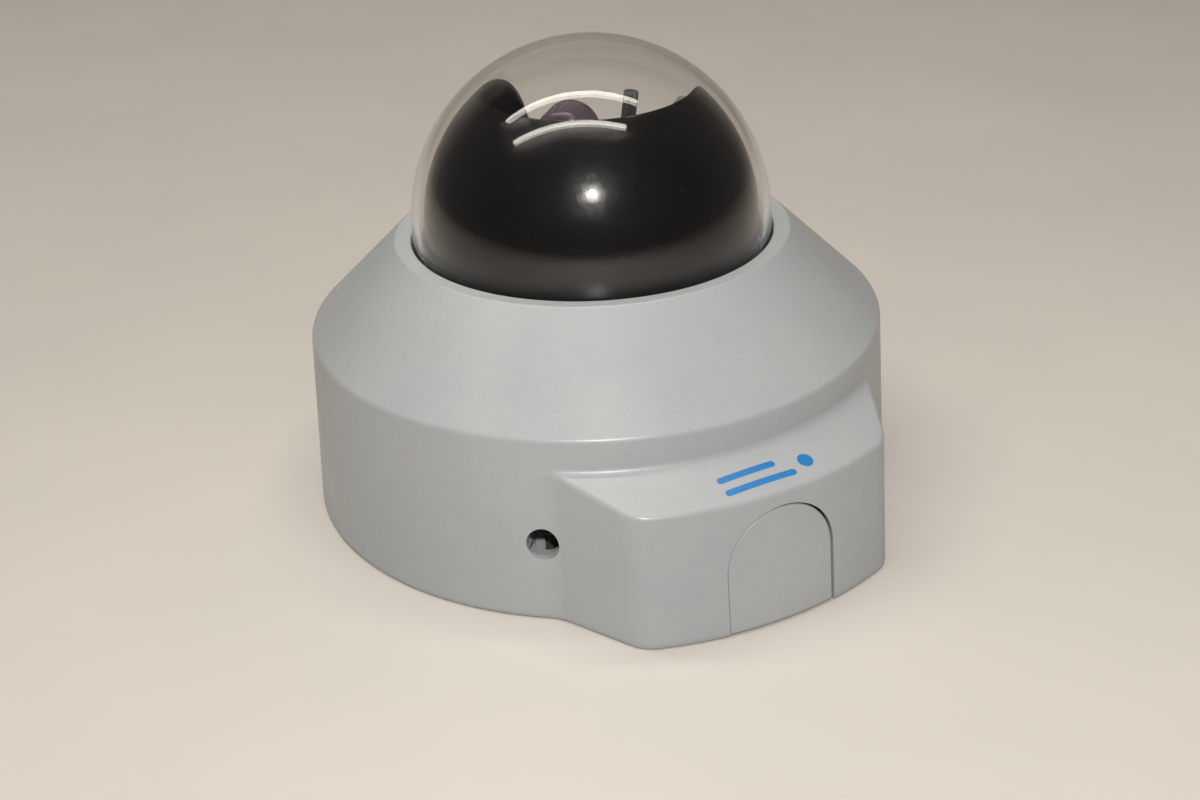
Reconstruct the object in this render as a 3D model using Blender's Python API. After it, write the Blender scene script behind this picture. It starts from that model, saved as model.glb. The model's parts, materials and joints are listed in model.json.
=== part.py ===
"""Surface-mounted dome camera: a painted housing with a conduit snout, a clear bubble, and
inside it a hand-aimed pan, tilt and rotate gimbal that carries a varifocal lens.

World frame: origin on the pan axis at the mounting face, +Z up through the top of the bubble,
the snout towards -Y. Sizes below are millimetres, turned into metres by MM.
"""
import math

import bmesh
import bpy
from mathutils import Matrix, Vector

MM = 0.001

# Housing cover
BOTTOM_Z = 0.5            # the cover ends just clear of the mounting face
SKIRT_R = 105.6           # skirt radius at the mounting face
SKIRT_TOP_R = 102.3
SKIRT_TOP_Z = 64.6
COLLAR_R = 69.9           # outer edge of the flat collar round the bubble
COLLAR_Z = 96.1
COLLAR_HOLE_R = 64.2
COLLAR_HOLE_Z = 95.6
WALL = 3.0
COLLAR_WALL = 2.6
EDGE_R = 2.5              # rounding between skirt, cone and collar
COVER_SEGMENTS = 64
ROOF_SEGMENTS = 74        # differs from the skirt's, so that their facets never line up

# Conduit snout
SNOUT_FRONT_R = 126.2     # its front wall is concentric with the skirt
SNOUT_FRONT_DRAFT = 0.0722
SNOUT_SIDE_POINT = (62.2, 85.3)      # sideways, outwards: a point on the side wall
SNOUT_SIDE_SLOPE = math.radians(25.9)
SNOUT_SIDE_DRAFT = 0.035
SNOUT_CORNER_R = 12.0
SNOUT_ROOT_R = 13.0
SNOUT_ROOT_SINK = 0.35    # the root fillets end this far inside the skirt
SNOUT_ROOF_R = 103.3
SNOUT_ROOF_Z = 53.7
SNOUT_ROOF_SLOPE = 0.3756
ARCH_HALF = 20.2          # knock-out opening in the front wall
ARCH_CENTRE_Z = 22.0
ARCH_GAP = 0.6
ARCH_CUT = (114.0, 140.0)            # radial span of the arch cutter, either side of the wall
PLATE_THICK = 2.6
PLATE_LOW_Z = 0.8

# Bubble and its fixing
BUBBLE_R = 63.5           # outer radius of a five-inch dome
BUBBLE_WALL = 2.5
SPHERE_Z = 99.8           # centre of bubble, liner and tilt axis
FLANGE_R = 67.2
FLANGE_BOTTOM_Z = 88.5
FLANGE_TOP_Z = 91.0
RING_BOTTOM_Z = 85.5
RING_INNER_R = 61.0
RING_OUTER_R = 73.0
RING_SCREW_R = 70.4
RING_SCREW_ANGLES = (45.0, 135.0, 225.0, 315.0)
RING_SCREW_HOLE_TOP = 91.6
RING_SCREW_TIP = 91.2
RING_BOSS_TOP = 92.4

# Cover screws: radial, behind tool holes in the skirt
TOOL_HOLE_R = 5.5
TOOL_HOLE_Z = 28.0
COVER_SCREW_ANGLES = (-128.5, -51.5, 90.0)
FIX_SPLIT = 87.5          # radius where the cover's tab ends and the base's lug begins

# Base
BASE_R = 98.0
BASE_THICK = 4.0
PILLAR_ANGLES = (30.0, 150.0, 270.0)
PILLAR_RADIUS = 72.0
FIXING_HOLES = ((80.8, 29.4), (-80.8, 29.4), (-80.8, -29.4), (80.8, -29.4))
CABLE_HOLE = (0.0, -36.0, 12.0)
BOARD_R = 62.0
BOARD_Z = 20.0
BOARD_THICK = 1.6
STANDOFF_ANGLES = (45.0, 135.0, 225.0, 315.0)
STANDOFF_RADIUS = 50.0
PAN_BASE_Z = 54.3
PAN_BASE_THICK = 3.0

# Gimbal
PAN_REST = math.radians(-45.0)       # turns the gimbal's forward axis half-way from +X to +Y
TILT_REST = math.radians(3.0)
TURNTABLE_Z = 62.0
LINER_R = 59.1
LINER_WALL = 1.3
LINER_BOTTOM_Z = 65.3
LINER_SCREW_ANGLES = (90.0, 210.0, 330.0)
LINER_SCREW_Z = 68.2
SLOT_HALF = 36.5
SLOT_BOTTOM_Z = 84.0
ARM_X = 30.0              # inner face of each yoke arm
ARM_THICK = 3.0
ARM_HALF = 12.0
PIVOT_R = 2.8

# Camera and lens, along the optical axis from the tilt axis
CAN_R = 19.5
BARREL_R = 14.5
CORE_R = 11.5
LENS_RING_R = BARREL_R + 1.0          # outside of the zoom and focus rings
IRIS_ANGLE = math.radians(33.0)      # leans to the left of straight up
IRIS_OFFSET = 26.0
IRIS_R = 10.6
IRIS_LOW = 13.5
IRIS_HIGH = 30.0
LENS_KNOB_R = 2.8
PAN_SCREW_R = 44.0
FIT = 0.3
LENS_SEGMENTS = 24
DOME_ANGLES = tuple(range(0, 90, 10))


# ---------- materials, one function for every slot ----------

def make_material(name, colour, roughness, metallic=0.0, alpha=1.0):
    material = bpy.data.materials.new(name)
    material.use_nodes = True
    shader = material.node_tree.nodes["Principled BSDF"]
    shader.inputs["Base Color"].default_value = (*colour, 1.0)
    shader.inputs["Roughness"].default_value = roughness
    shader.inputs["Metallic"].default_value = metallic
    shader.inputs["Alpha"].default_value = alpha
    material.diffuse_color = (*colour, alpha)
    return material


# ---------- meshes ----------

def finish_mesh(name, bm):
    bmesh.ops.scale(bm, vec=(MM, MM, MM), verts=bm.verts)
    bmesh.ops.delete(bm, geom=[v for v in bm.verts if not v.link_faces], context="VERTS")
    bmesh.ops.recalc_face_normals(bm, faces=bm.faces)
    mesh = bpy.data.meshes.new(name)
    bm.to_mesh(mesh)
    bm.free()
    tool = bpy.data.objects.new(name, mesh)
    bpy.context.scene.collection.objects.link(tool)
    return tool


def lathe(profile, segments=36, name="lathe"):
    """Turn a closed (r, z) outline about the local Z axis. Points with r = 0 become poles."""
    bm = bmesh.new()
    rings = []
    for r, z in profile:
        if r == 0.0:
            rings.append([bm.verts.new((0.0, 0.0, z))])
            continue
        turn = [2.0 * math.pi * i / segments for i in range(segments)]
        rings.append([bm.verts.new((r * math.cos(a), r * math.sin(a), z)) for a in turn])
    heights = [z for r, z in profile]
    pairs = zip(rings, rings[1:] + rings[:1], heights, heights[1:] + heights[:1])
    for ring, following, low, high in pairs:
        if len(ring) == 1 and len(following) == 1:
            continue
        if low == high and 1 in (len(ring), len(following)):
            bm.faces.new(ring if len(ring) > 1 else following)
            continue
        for i in range(segments):
            j = (i + 1) % segments
            corners = [ring[i % len(ring)], ring[j % len(ring)]]
            corners += [following[j % len(following)], following[i % len(following)]]
            bm.faces.new(list(dict.fromkeys(corners)))
    return finish_mesh(name, bm)


def prism(outline, low, high, name="prism"):
    """Stand a closed (x, y) outline up between two heights."""
    bm = bmesh.new()
    count = len(outline)
    bottom = [bm.verts.new((x, y, low)) for x, y in outline]
    top = [bm.verts.new((x, y, high)) for x, y in outline]
    bm.faces.new(bottom)
    bm.faces.new(top)
    for i in range(count):
        j = (i + 1) % count
        bm.faces.new((bottom[i], bottom[j], top[j], top[i]))
    return finish_mesh(name, bm)


def loft(lower, upper, low, high, name="loft"):
    """Join two outlines with the same number of points at two heights."""
    bm = bmesh.new()
    count = len(lower)
    bottom = [bm.verts.new((x, y, low)) for x, y in lower]
    top = [bm.verts.new((x, y, high)) for x, y in upper]
    bm.faces.new(bottom)
    bm.faces.new(top)
    for i in range(count):
        j = (i + 1) % count
        bm.faces.new((bottom[i], bottom[j], top[j]))
        bm.faces.new((bottom[i], top[j], top[i]))
    return finish_mesh(name, bm)


def box(low, high, name="box"):
    outline = [(low[0], low[1]), (high[0], low[1]), (high[0], high[1]), (low[0], high[1])]
    return prism(outline, low[2], high[2], name)


def rod(radius, low, high, segments=16, name="rod"):
    return lathe([(0.0, low), (radius, low), (radius, high), (0.0, high)], segments, name)


def tube(inner, outer, low, high, segments=36, name="tube"):
    return lathe([(inner, low), (outer, low), (outer, high), (inner, high)], segments, name)


def place(tool, matrix):
    """Move a mesh by a matrix whose translation is in millimetres."""
    moved = matrix.copy()
    moved.translation = matrix.translation * MM
    tool.data.transform(moved)
    return tool


def shift(x, y, z):
    return Matrix.Translation((x, y, z))


def spin(degrees, axis="Z"):
    return Matrix.Rotation(math.radians(degrees), 4, axis)


def combine(target, tool, operation):
    """Boolean two solids into the first and remove the second."""
    modifier = target.modifiers.new("cut", "BOOLEAN")
    modifier.operation = operation
    modifier.solver = "EXACT"
    modifier.object = tool
    graph = bpy.context.evaluated_depsgraph_get()
    graph.update()
    mesh = bpy.data.meshes.new_from_object(target.evaluated_get(graph))
    target.modifiers.clear()
    target.data = mesh
    bpy.data.objects.remove(tool)
    return target


def cut(target, tool):
    return combine(target, tool, "DIFFERENCE")


def join(target, tool):
    return combine(target, tool, "UNION")


def keep_common(target, tool):
    return combine(target, tool, "INTERSECT")


def finish(part, name, material, parent=None):
    """Name a solid as a node, give it its material and hang it on its axis."""
    part.name = name
    part.data.name = name
    part.data.materials.clear()
    part.data.materials.append(material)
    part.data.shade_smooth()
    part.data.set_sharp_from_angle(angle=math.radians(32.0))
    part.parent = parent
    return part


def axis_empty(name, matrix, parent=None):
    empty = bpy.data.objects.new(name, None)
    bpy.context.scene.collection.objects.link(empty)
    empty.parent = parent
    empty.matrix_basis = matrix
    return empty


# ---------- outlines ----------

def arc(centre, radius, start, end, steps):
    """Points on an arc between two angles in radians, both ends included."""
    turn = [start + (end - start) * i / steps for i in range(steps + 1)]
    return [(centre[0] + radius * math.cos(a), centre[1] + radius * math.sin(a)) for a in turn]


def round_corner(before, corner, after, radius, steps=3):
    """Points that replace a corner of an outline by a tangent arc."""
    here = Vector(corner)
    back = (Vector(before) - here).normalized()
    ahead = (Vector(after) - here).normalized()
    half = back.angle(ahead) / 2.0
    centre = here + (back + ahead).normalized() * radius / math.sin(half)
    first = here + back * radius / math.tan(half) - centre
    last = here + ahead * radius / math.tan(half) - centre
    mixes = [i / steps for i in range(steps + 1)]
    return [tuple(centre + (first.lerp(last, t)).normalized() * radius) for t in mixes]


def arch_outline(half, centre_z, low, steps=16):
    """Upright arch as (x, z) points: a half circle on two straight sides."""
    return [(half, low)] + arc((0.0, centre_z), half, 0.0, math.pi, steps) + [(-half, low)]


def skirt_radius(z):
    return SKIRT_R - (SKIRT_R - SKIRT_TOP_R) * z / SKIRT_TOP_Z


def exit_point(start, direction, radius):
    """Where a line leaves a circle round the origin."""
    along_line = start.dot(direction)
    return start + direction * (-along_line + math.sqrt(along_line ** 2 - start.dot(start) + radius ** 2))


def snout_outline(z, inset):
    """Snout outline at a height, moved inwards by inset, as (x, y) points."""
    slope = Vector((-math.sin(SNOUT_SIDE_SLOPE), math.cos(SNOUT_SIDE_SLOPE)))
    normal = Vector((math.cos(SNOUT_SIDE_SLOPE), math.sin(SNOUT_SIDE_SLOPE)))
    side = Vector(SNOUT_SIDE_POINT) - normal * (inset + SNOUT_SIDE_DRAFT * z)
    front = SNOUT_FRONT_R - SNOUT_FRONT_DRAFT * z - inset
    skirt = skirt_radius(z) - inset - SNOUT_ROOT_SINK
    corner_r = SNOUT_CORNER_R - inset
    root_r = SNOUT_ROOT_R + inset
    corner = exit_point(side - normal * corner_r, slope, front - corner_r)
    root = exit_point(side + normal * root_r, slope, skirt + root_r)
    root_start = math.atan2(-root.y, -root.x)
    root_end = math.atan2(-normal.y, -normal.x)
    corner_start = math.atan2(normal.y, normal.x)
    corner_end = math.atan2(corner.y, corner.x)
    half = [tuple(root * ((skirt - 14.0) / root.length))]
    half += arc(root, root_r, root_start, root_end, 5)
    half += arc(corner, corner_r, corner_start, corner_end, 6)
    half += arc((0.0, 0.0), front, corner_end, math.pi / 2.0, 10)[1:]
    right = [(x, -y) for x, y in half]
    left = [(-x, y) for x, y in reversed(right[:-1])]
    return right + left


# ---------- housing cover ----------

def snout_solid(inset, low):
    high = SNOUT_ROOF_Z + 10.0
    solid = loft(snout_outline(low, inset), snout_outline(high, inset), low, high)
    roof = [(0.0, low - 5.0), (140.0, low - 5.0)]
    for radius in (140.0, 90.0):
        roof.append((radius, SNOUT_ROOF_Z - inset - (radius - SNOUT_ROOF_R) * SNOUT_ROOF_SLOPE))
    roof.append((0.0, roof[-1][1]))
    return keep_common(solid, lathe(roof, ROOF_SEGMENTS))


def cover_body():
    skirt_foot = (skirt_radius(BOTTOM_Z), BOTTOM_Z)
    skirt_top = (SKIRT_TOP_R, SKIRT_TOP_Z)
    collar = (COLLAR_R, COLLAR_Z)
    collar_in = (COLLAR_HOLE_R, COLLAR_HOLE_Z)
    outside = [(0.0, BOTTOM_Z), skirt_foot]
    outside += round_corner(skirt_foot, skirt_top, collar, EDGE_R)
    outside += round_corner(skirt_top, collar, collar_in, 1.0, 2)
    outside += [collar_in, (0.0, COLLAR_HOLE_Z)]
    body = join(lathe(outside, COVER_SEGMENTS), snout_solid(0.0, BOTTOM_Z))
    cone = Vector((COLLAR_R - SKIRT_TOP_R, COLLAR_Z - SKIRT_TOP_Z)).normalized()
    inward = Vector((-cone.y, cone.x)) * WALL
    shoulder_z = SKIRT_TOP_Z - WALL * 0.6
    shoulder_r = skirt_radius(shoulder_z) - WALL
    ceiling_z = COLLAR_HOLE_Z - COLLAR_WALL
    ceiling_r = COLLAR_R + inward.x + (COLLAR_Z + inward.y - ceiling_z) * cone.x / -cone.y
    inside = [(0.0, -2.0), (skirt_radius(-2.0) - WALL, -2.0), (shoulder_r, shoulder_z)]
    inside += [(ceiling_r, ceiling_z), (COLLAR_HOLE_R, ceiling_z)]
    inside += [(COLLAR_HOLE_R, COLLAR_Z + 3.0), (0.0, COLLAR_Z + 3.0)]
    hollow = join(lathe(inside, COVER_SEGMENTS), snout_solid(WALL, -2.0))
    return cut(body, hollow)


def radial(angle, height):
    """Local +Z points outwards at this angle, local +Y points down."""
    return spin(angle) @ Matrix.Translation((0.0, 0.0, height)) @ spin(-90.0, "Z") @ spin(-90.0, "X")


def open_slot(half, low, high, steps):
    """Slot cutter for the radial frame: round above, open below."""
    outline = [(half, 13.0)] + arc((0.0, 0.0), half, 0.0, -math.pi, steps) + [(-half, 13.0)]
    return prism(outline, low, high)


def make_cover(paint):
    body = cover_body()
    for angle in COVER_SCREW_ANGLES:
        frame = radial(angle, TOOL_HOLE_Z)
        body = join(body, place(box((-8.5, -9.0, FIX_SPLIT), (8.5, 11.0, 101.6)), frame))
        body = cut(body, place(open_slot(TOOL_HOLE_R + 0.3, 90.0, 98.6, 12), frame))
        body = cut(body, place(open_slot(2.6, 84.0, 92.0, 8), frame))
        body = cut(body, place(rod(TOOL_HOLE_R, 96.0, 112.0, 32), frame))
    for angle in RING_SCREW_ANGLES:
        frame = spin(angle) @ shift(RING_SCREW_R, 0.0, 0.0)
        body = join(body, place(rod(2.6, RING_BOTTOM_Z + 3.0, RING_BOSS_TOP), frame))
        body = cut(body, place(rod(1.4, RING_BOTTOM_Z + 2.0, RING_SCREW_HOLE_TOP, 12), frame))
    arch = arch_outline(ARCH_HALF, ARCH_CENTRE_Z, -3.0)
    opening = prism(arch, *ARCH_CUT)
    body = cut(body, place(opening, spin(90.0, "X")))
    return finish(body, "housing_cover", paint)


def make_conduit_plate(paint):
    half = ARCH_HALF - ARCH_GAP
    arch = prism(arch_outline(half, ARCH_CENTRE_Z, PLATE_LOW_Z), *ARCH_CUT)
    plate = place(arch, spin(90.0, "X"))
    high = ARCH_CENTRE_Z + ARCH_HALF + 5.0
    front_low = SNOUT_FRONT_R
    front_high = SNOUT_FRONT_R - SNOUT_FRONT_DRAFT * high
    skin = [(front_low - PLATE_THICK, 0.0), (front_low, 0.0)]
    skin += [(front_high, high), (front_high - PLATE_THICK, high)]
    plate = keep_common(plate, lathe(skin, COVER_SEGMENTS))
    return finish(plate, "conduit_plate", paint)


def make_bubble(clear):
    rise = [math.radians(a) for a in DOME_ANGLES]
    outer = [(BUBBLE_R * math.cos(a), SPHERE_Z + BUBBLE_R * math.sin(a)) for a in rise]
    inner_r = BUBBLE_R - BUBBLE_WALL
    inner = [(inner_r * math.cos(a), SPHERE_Z + inner_r * math.sin(a)) for a in rise]
    profile = [(inner_r, FLANGE_BOTTOM_Z), (FLANGE_R, FLANGE_BOTTOM_Z), (FLANGE_R, FLANGE_TOP_Z)]
    profile += [(BUBBLE_R, FLANGE_TOP_Z)] + outer + [(0.0, SPHERE_Z + BUBBLE_R)]
    profile += [(0.0, SPHERE_Z + inner_r)] + list(reversed(inner))
    return finish(lathe(profile, 40), "dome_bubble", clear)


def make_bubble_fixing(rubber, steel):
    gasket = tube(64.6, 67.0, FLANGE_TOP_Z + FIT, COLLAR_HOLE_Z - COLLAR_WALL - FIT)
    finish(gasket, "bubble_gasket", rubber)
    top = FLANGE_BOTTOM_Z - FIT
    ring = tube(RING_INNER_R, RING_OUTER_R, RING_BOTTOM_Z, top)
    for angle in RING_SCREW_ANGLES:
        ring = cut(ring, place(rod(1.5, RING_BOTTOM_Z - 1.0, top + 1.0, 12),
                               spin(angle) @ shift(RING_SCREW_R, 0.0, 0.0)))
    finish(ring, "bubble_retaining_ring", steel)
    for number, angle in enumerate(RING_SCREW_ANGLES, 1):
        head = RING_BOTTOM_Z - FIT
        shape = [(0.0, head - 1.6), (2.2, head - 1.6), (2.2, head), (1.1, head)]
        shape += [(1.1, RING_SCREW_TIP), (0.0, RING_SCREW_TIP)]
        screw = place(lathe(shape, 12), spin(angle) @ shift(RING_SCREW_R, 0.0, 0.0))
        finish(screw, f"ring_screw_{number}", steel)


# ---------- base ----------

def make_base(alloy):
    lip = [(0.0, 0.0), (BASE_R - 1.0, 0.0), (BASE_R, 1.0), (BASE_R, 8.0), (BASE_R - 3.5, 8.0)]
    lip += [(BASE_R - 3.5, BASE_THICK), (0.0, BASE_THICK)]
    base = lathe(lip, 48)
    for angle in COVER_SCREW_ANGLES:
        frame = radial(angle, TOOL_HOLE_Z)
        lug = box((-6.0, -8.0, 77.5), (6.0, TOOL_HOLE_Z - 2.0, FIX_SPLIT - FIT))
        base = join(base, place(lug, frame))
        base = cut(base, place(rod(2.3, 78.6, 90.0, 16), frame))
    for x, y in FIXING_HOLES:
        base = cut(base, place(rod(2.6, -2.0, BASE_THICK + 2.0, 16), shift(x, y, 0.0)))
    x, y, radius = CABLE_HOLE
    base = cut(base, place(rod(radius, -2.0, BASE_THICK + 2.0, 32), shift(x, y, 0.0)))
    return finish(base, "mounting_base", alloy)


def make_base_seal(rubber):
    seal = tube(BASE_R + FIT, BASE_R + 3.3, 1.2, 4.0, 48)
    return finish(seal, "base_seal", rubber)


def make_main_board(laminate, brass, connector_plastic, metal):
    board = rod(BOARD_R, BOARD_Z, BOARD_Z + BOARD_THICK, 36)
    x, y, radius = CABLE_HOLE
    board = cut(board, place(rod(radius, BOARD_Z - 1.0, BOARD_Z + 3.0, 24), shift(x, y, 0.0)))
    for angle in STANDOFF_ANGLES:
        frame = spin(angle) @ shift(STANDOFF_RADIUS, 0.0, 0.0)
        board = cut(board, place(rod(1.7, BOARD_Z - 1.0, BOARD_Z + 3.0, 12), frame))
    finish(board, "main_board", laminate)
    for number, angle in enumerate(STANDOFF_ANGLES, 1):
        frame = spin(angle) @ shift(STANDOFF_RADIUS, 0.0, 0.0)
        post = [(0.0, BASE_THICK + FIT), (3.0, BASE_THICK + FIT), (3.0, BOARD_Z - FIT)]
        post += [(1.4, BOARD_Z - FIT), (1.4, BOARD_Z + 3.2), (0.0, BOARD_Z + 3.2)]
        finish(place(lathe(post, 6), frame), f"board_standoff_{number}", brass)
    top = BOARD_Z + BOARD_THICK + FIT
    terminal = box((-14.0, 30.0, top), (14.0, 41.0, top + 10.0))
    for x in (-9.0, 0.0, 9.0):
        terminal = cut(terminal, place(rod(2.2, top + 6.0, top + 12.0, 12), shift(x, 35.5, 0.0)))
    finish(terminal, "power_terminal", connector_plastic)
    jack = place(lathe([(0.0, 0.0), (6.5, 0.0), (6.5, 6.0), (4.8, 6.0), (4.8, 16.0), (3.6, 16.0),
                        (3.6, 8.0), (0.0, 8.0)], 12), shift(34.0, 6.0, top))
    finish(jack, "video_jack", metal)
    heat = box((-34.0, -10.0, top), (-12.0, 12.0, top + 2.0))
    for i in range(5):
        y = -10.0 + i * 5.0
        heat = join(heat, box((-34.0, y, top + 1.0), (-12.0, y + 2.0, top + 9.0)))
    finish(heat, "board_heat_sink", metal)


def make_pan_base(alloy, steel, low_friction):
    top = PAN_BASE_Z + PAN_BASE_THICK
    plate = tube(24.6, 80.0, PAN_BASE_Z, top, 48)
    for angle in PILLAR_ANGLES:
        frame = spin(angle) @ shift(PILLAR_RADIUS, 0.0, 0.0)
        plate = cut(plate, place(rod(2.3, PAN_BASE_Z - 1.0, top + 1.0, 12), frame))
    finish(plate, "pan_base_plate", steel)
    for number, angle in enumerate(PILLAR_ANGLES, 1):
        frame = spin(angle) @ shift(PILLAR_RADIUS, 0.0, 0.0)
        post = [(0.0, BASE_THICK + FIT), (4.0, BASE_THICK + FIT), (4.0, PAN_BASE_Z - FIT)]
        post += [(2.0, PAN_BASE_Z - FIT), (2.0, top + 1.5), (0.0, top + 1.5)]
        finish(place(lathe(post, 12), frame), f"support_pillar_{number}", alloy)
    ring = tube(27.0, 38.0, top + FIT, TURNTABLE_Z - FIT)
    finish(ring, "pan_bearing_ring", low_friction)


def make_cover_screws(steel):
    for number, angle in enumerate(COVER_SCREW_ANGLES, 1):
        head = [(0.0, 79.2), (2.0, 79.2), (2.0, 90.4), (4.6, 90.4), (4.6, 93.4), (3.9, 94.4)]
        head += [(1.6, 94.4), (1.6, 92.0), (0.0, 92.0)]
        screw = place(lathe(head, 16), radial(angle, TOOL_HOLE_Z))
        finish(screw, f"cover_screw_{number}", steel)


# ---------- pan body ----------

def make_turntable(plastic, steel, parent):
    profile = [(14.0, 51.0), (24.0, 51.0), (24.0, TURNTABLE_Z), (LINER_R, TURNTABLE_Z)]
    profile += [(LINER_R, LINER_BOTTOM_Z - FIT), (57.4, LINER_BOTTOM_Z - FIT), (57.4, 71.0)]
    profile += [(54.5, 71.0), (54.5, LINER_BOTTOM_Z - FIT), (14.0, LINER_BOTTOM_Z - FIT)]
    table = lathe(profile, 36)
    for angle in LINER_SCREW_ANGLES:
        table = cut(table, place(rod(1.3, 53.0, 62.0, 12), radial(angle, LINER_SCREW_Z)))
    table = cut(table, place(rod(2.3, 60.0, 66.0, 16), shift(0.0, -PAN_SCREW_R, 0.0)))
    finish(table, "pan_turntable", plastic, parent)
    finish(tube(24.3, 34.0, 51.2, PAN_BASE_Z - FIT), "pan_clamp_ring", steel, parent)


def make_liner(gloss, steel, parent):
    rise = [math.radians(a) for a in DOME_ANGLES]
    inner_r = LINER_R - LINER_WALL
    outer = [(LINER_R * math.cos(a), SPHERE_Z + LINER_R * math.sin(a)) for a in rise]
    inner = [(inner_r * math.cos(a), SPHERE_Z + inner_r * math.sin(a)) for a in rise]
    profile = [(inner_r, LINER_BOTTOM_Z), (LINER_R, LINER_BOTTOM_Z)] + outer
    profile += [(0.0, SPHERE_Z + LINER_R), (0.0, SPHERE_Z + inner_r)] + list(reversed(inner))
    liner = lathe(profile, 48)
    slot = [(SLOT_HALF, 80.0)] + arc((0.0, 0.0), SLOT_HALF, 0.0, -math.pi, 20) + [(-SLOT_HALF, 80.0)]
    liner = cut(liner, prism(slot, SLOT_BOTTOM_Z, 180.0))
    for angle in LINER_SCREW_ANGLES:
        liner = cut(liner, place(rod(1.3, 53.0, 62.0, 12), radial(angle, LINER_SCREW_Z)))
    finish(liner, "inner_liner", gloss, parent)
    for number, angle in enumerate(LINER_SCREW_ANGLES, 1):
        shape = [(0.0, 55.2), (1.0, 55.2), (1.0, LINER_R + 0.2), (2.0, LINER_R + 0.2)]
        shape += [(1.6, LINER_R + 1.1), (0.0, LINER_R + 1.1)]
        screw = place(lathe(shape, 12), radial(angle, LINER_SCREW_Z))
        finish(screw, f"liner_screw_{number}", steel, parent)


def arm_outline(top):
    """Side view of a yoke arm as (y, z) points, with a round head about the tilt axis."""
    foot = LINER_BOTTOM_Z
    head = arc((0.0, SPHERE_Z), ARM_HALF, 0.0, math.pi, 12)
    outline = [(-ARM_HALF, foot), (ARM_HALF, foot)] + head
    if top is None:
        return outline
    finger = [(9.5, SPHERE_Z + 7.4), (9.5, top), (0.5, top), (0.5, SPHERE_Z + 11.9)]
    return outline[:2] + head[:4] + finger + head[8:]


def make_arm(side, top, name, steel, parent):
    arm = prism(arm_outline(top), 0.0, ARM_THICK)
    upright = Matrix(((0, 0, 1, 0), (1, 0, 0, 0), (0, 1, 0, 0), (0, 0, 0, 1)))
    near = ARM_X if side > 0 else -ARM_X - ARM_THICK
    arm = place(arm, shift(near, 0.0, 0.0) @ upright)
    hole = rod(PIVOT_R + FIT, -60.0, 60.0)
    arm = cut(arm, place(hole, shift(side * 60.0, 0.0, SPHERE_Z) @ spin(90.0, "Y")))
    low = min(side * (ARM_X + ARM_THICK), side * (ARM_X - 10.0))
    high = max(side * (ARM_X + ARM_THICK), side * (ARM_X - 10.0))
    foot = box((low, -ARM_HALF, LINER_BOTTOM_Z), (high, ARM_HALF, LINER_BOTTOM_Z + 2.5))
    arm = join(arm, foot)
    return finish(arm, name, steel, parent)


def thumb_screw(radius, head_low, head_high, tip, shank, name, material, parent, matrix):
    """Knurled head with a plain shank below it, along local Z."""
    bm = bmesh.new()
    teeth = 12
    rings = []
    for z in (head_low, head_high):
        ring = []
        for i in range(teeth * 2):
            turn = math.pi * i / teeth
            r = radius if i % 2 == 0 else radius * 0.9
            ring.append(bm.verts.new((r * math.cos(turn), r * math.sin(turn), z)))
        rings.append(ring)
    bm.faces.new(rings[0])
    bm.faces.new(rings[1])
    for i in range(teeth * 2):
        j = (i + 1) % (teeth * 2)
        bm.faces.new((rings[0][i], rings[0][j], rings[1][j], rings[1][i]))
    screw = finish_mesh("screw", bm)
    screw = join(screw, rod(shank, tip, head_low + 1.0, 12))
    return finish(place(screw, matrix), name, material, parent)


# ---------- tilt body ----------

def make_cradle(plastic, parent):
    """Clamp ring round the camera can with a boss towards each yoke arm. Local Y is forward."""
    ring = place(tube(CAN_R + FIT, CAN_R + 4.0, -7.0, 7.0, LENS_SEGMENTS), spin(-90.0, "X"))
    for side in (-1.0, 1.0):
        boss = rod(6.0, CAN_R + 2.0, ARM_X - FIT)
        ring = join(ring, place(boss, spin(side * 90.0, "Y")))
        bore = rod(PIVOT_R + FIT, CAN_R + 4.5, ARM_X + 2.0)
        ring = cut(ring, place(bore, spin(side * 90.0, "Y")))
    return finish(ring, "tilt_cradle", plastic, parent)


def make_tilt_knobs(plastic, parent):
    for side, name in ((-1.0, "tilt_knob_left"), (1.0, "tilt_knob_right")):
        low = ARM_X + ARM_THICK + FIT
        thumb_screw(8.0, low, low + 6.5, CAN_R + 5.0, PIVOT_R, name, plastic, parent,
                    spin(side * 90.0, "Y"))


# ---------- camera and lens: local Z is the optical axis, local Y is up, local X is left ----------

def make_camera_can(plastic, laminate, sensor_black, alloy, parent):
    can = [(CAN_R - 2.0, -26.0), (CAN_R, -26.0), (CAN_R, 7.5), (CAN_R - 1.5, 9.0), (12.6, 9.0)]
    can += [(12.6, 6.5), (CAN_R - 2.0, 6.5)]
    finish(lathe(can, LENS_SEGMENTS), "camera_housing", plastic, parent)
    cap = [(5.0, -28.6), (CAN_R - 1.5, -28.6), (CAN_R, -27.4), (CAN_R, -26.3), (CAN_R - 2.3, -26.3)]
    cap += [(CAN_R - 2.3, -23.5), (CAN_R - 4.3, -23.5), (CAN_R - 4.3, -26.3), (5.0, -26.3)]
    finish(lathe(cap, LENS_SEGMENTS), "camera_rear_cap", plastic, parent)
    finish(rod(CAN_R - 2.4, -12.0, -10.4), "sensor_board", laminate, parent)
    finish(box((-7.0, -6.0, -10.1), (7.0, 6.0, -7.6)), "image_sensor", sensor_black, parent)
    mount = tube(9.5, 12.2, 0.0, 12.0, LENS_SEGMENTS)
    finish(mount, "lens_mount_ring", alloy, parent)


def iris_axis():
    return Vector((math.sin(IRIS_ANGLE), math.cos(IRIS_ANGLE), 0.0)) * IRIS_OFFSET


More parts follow.
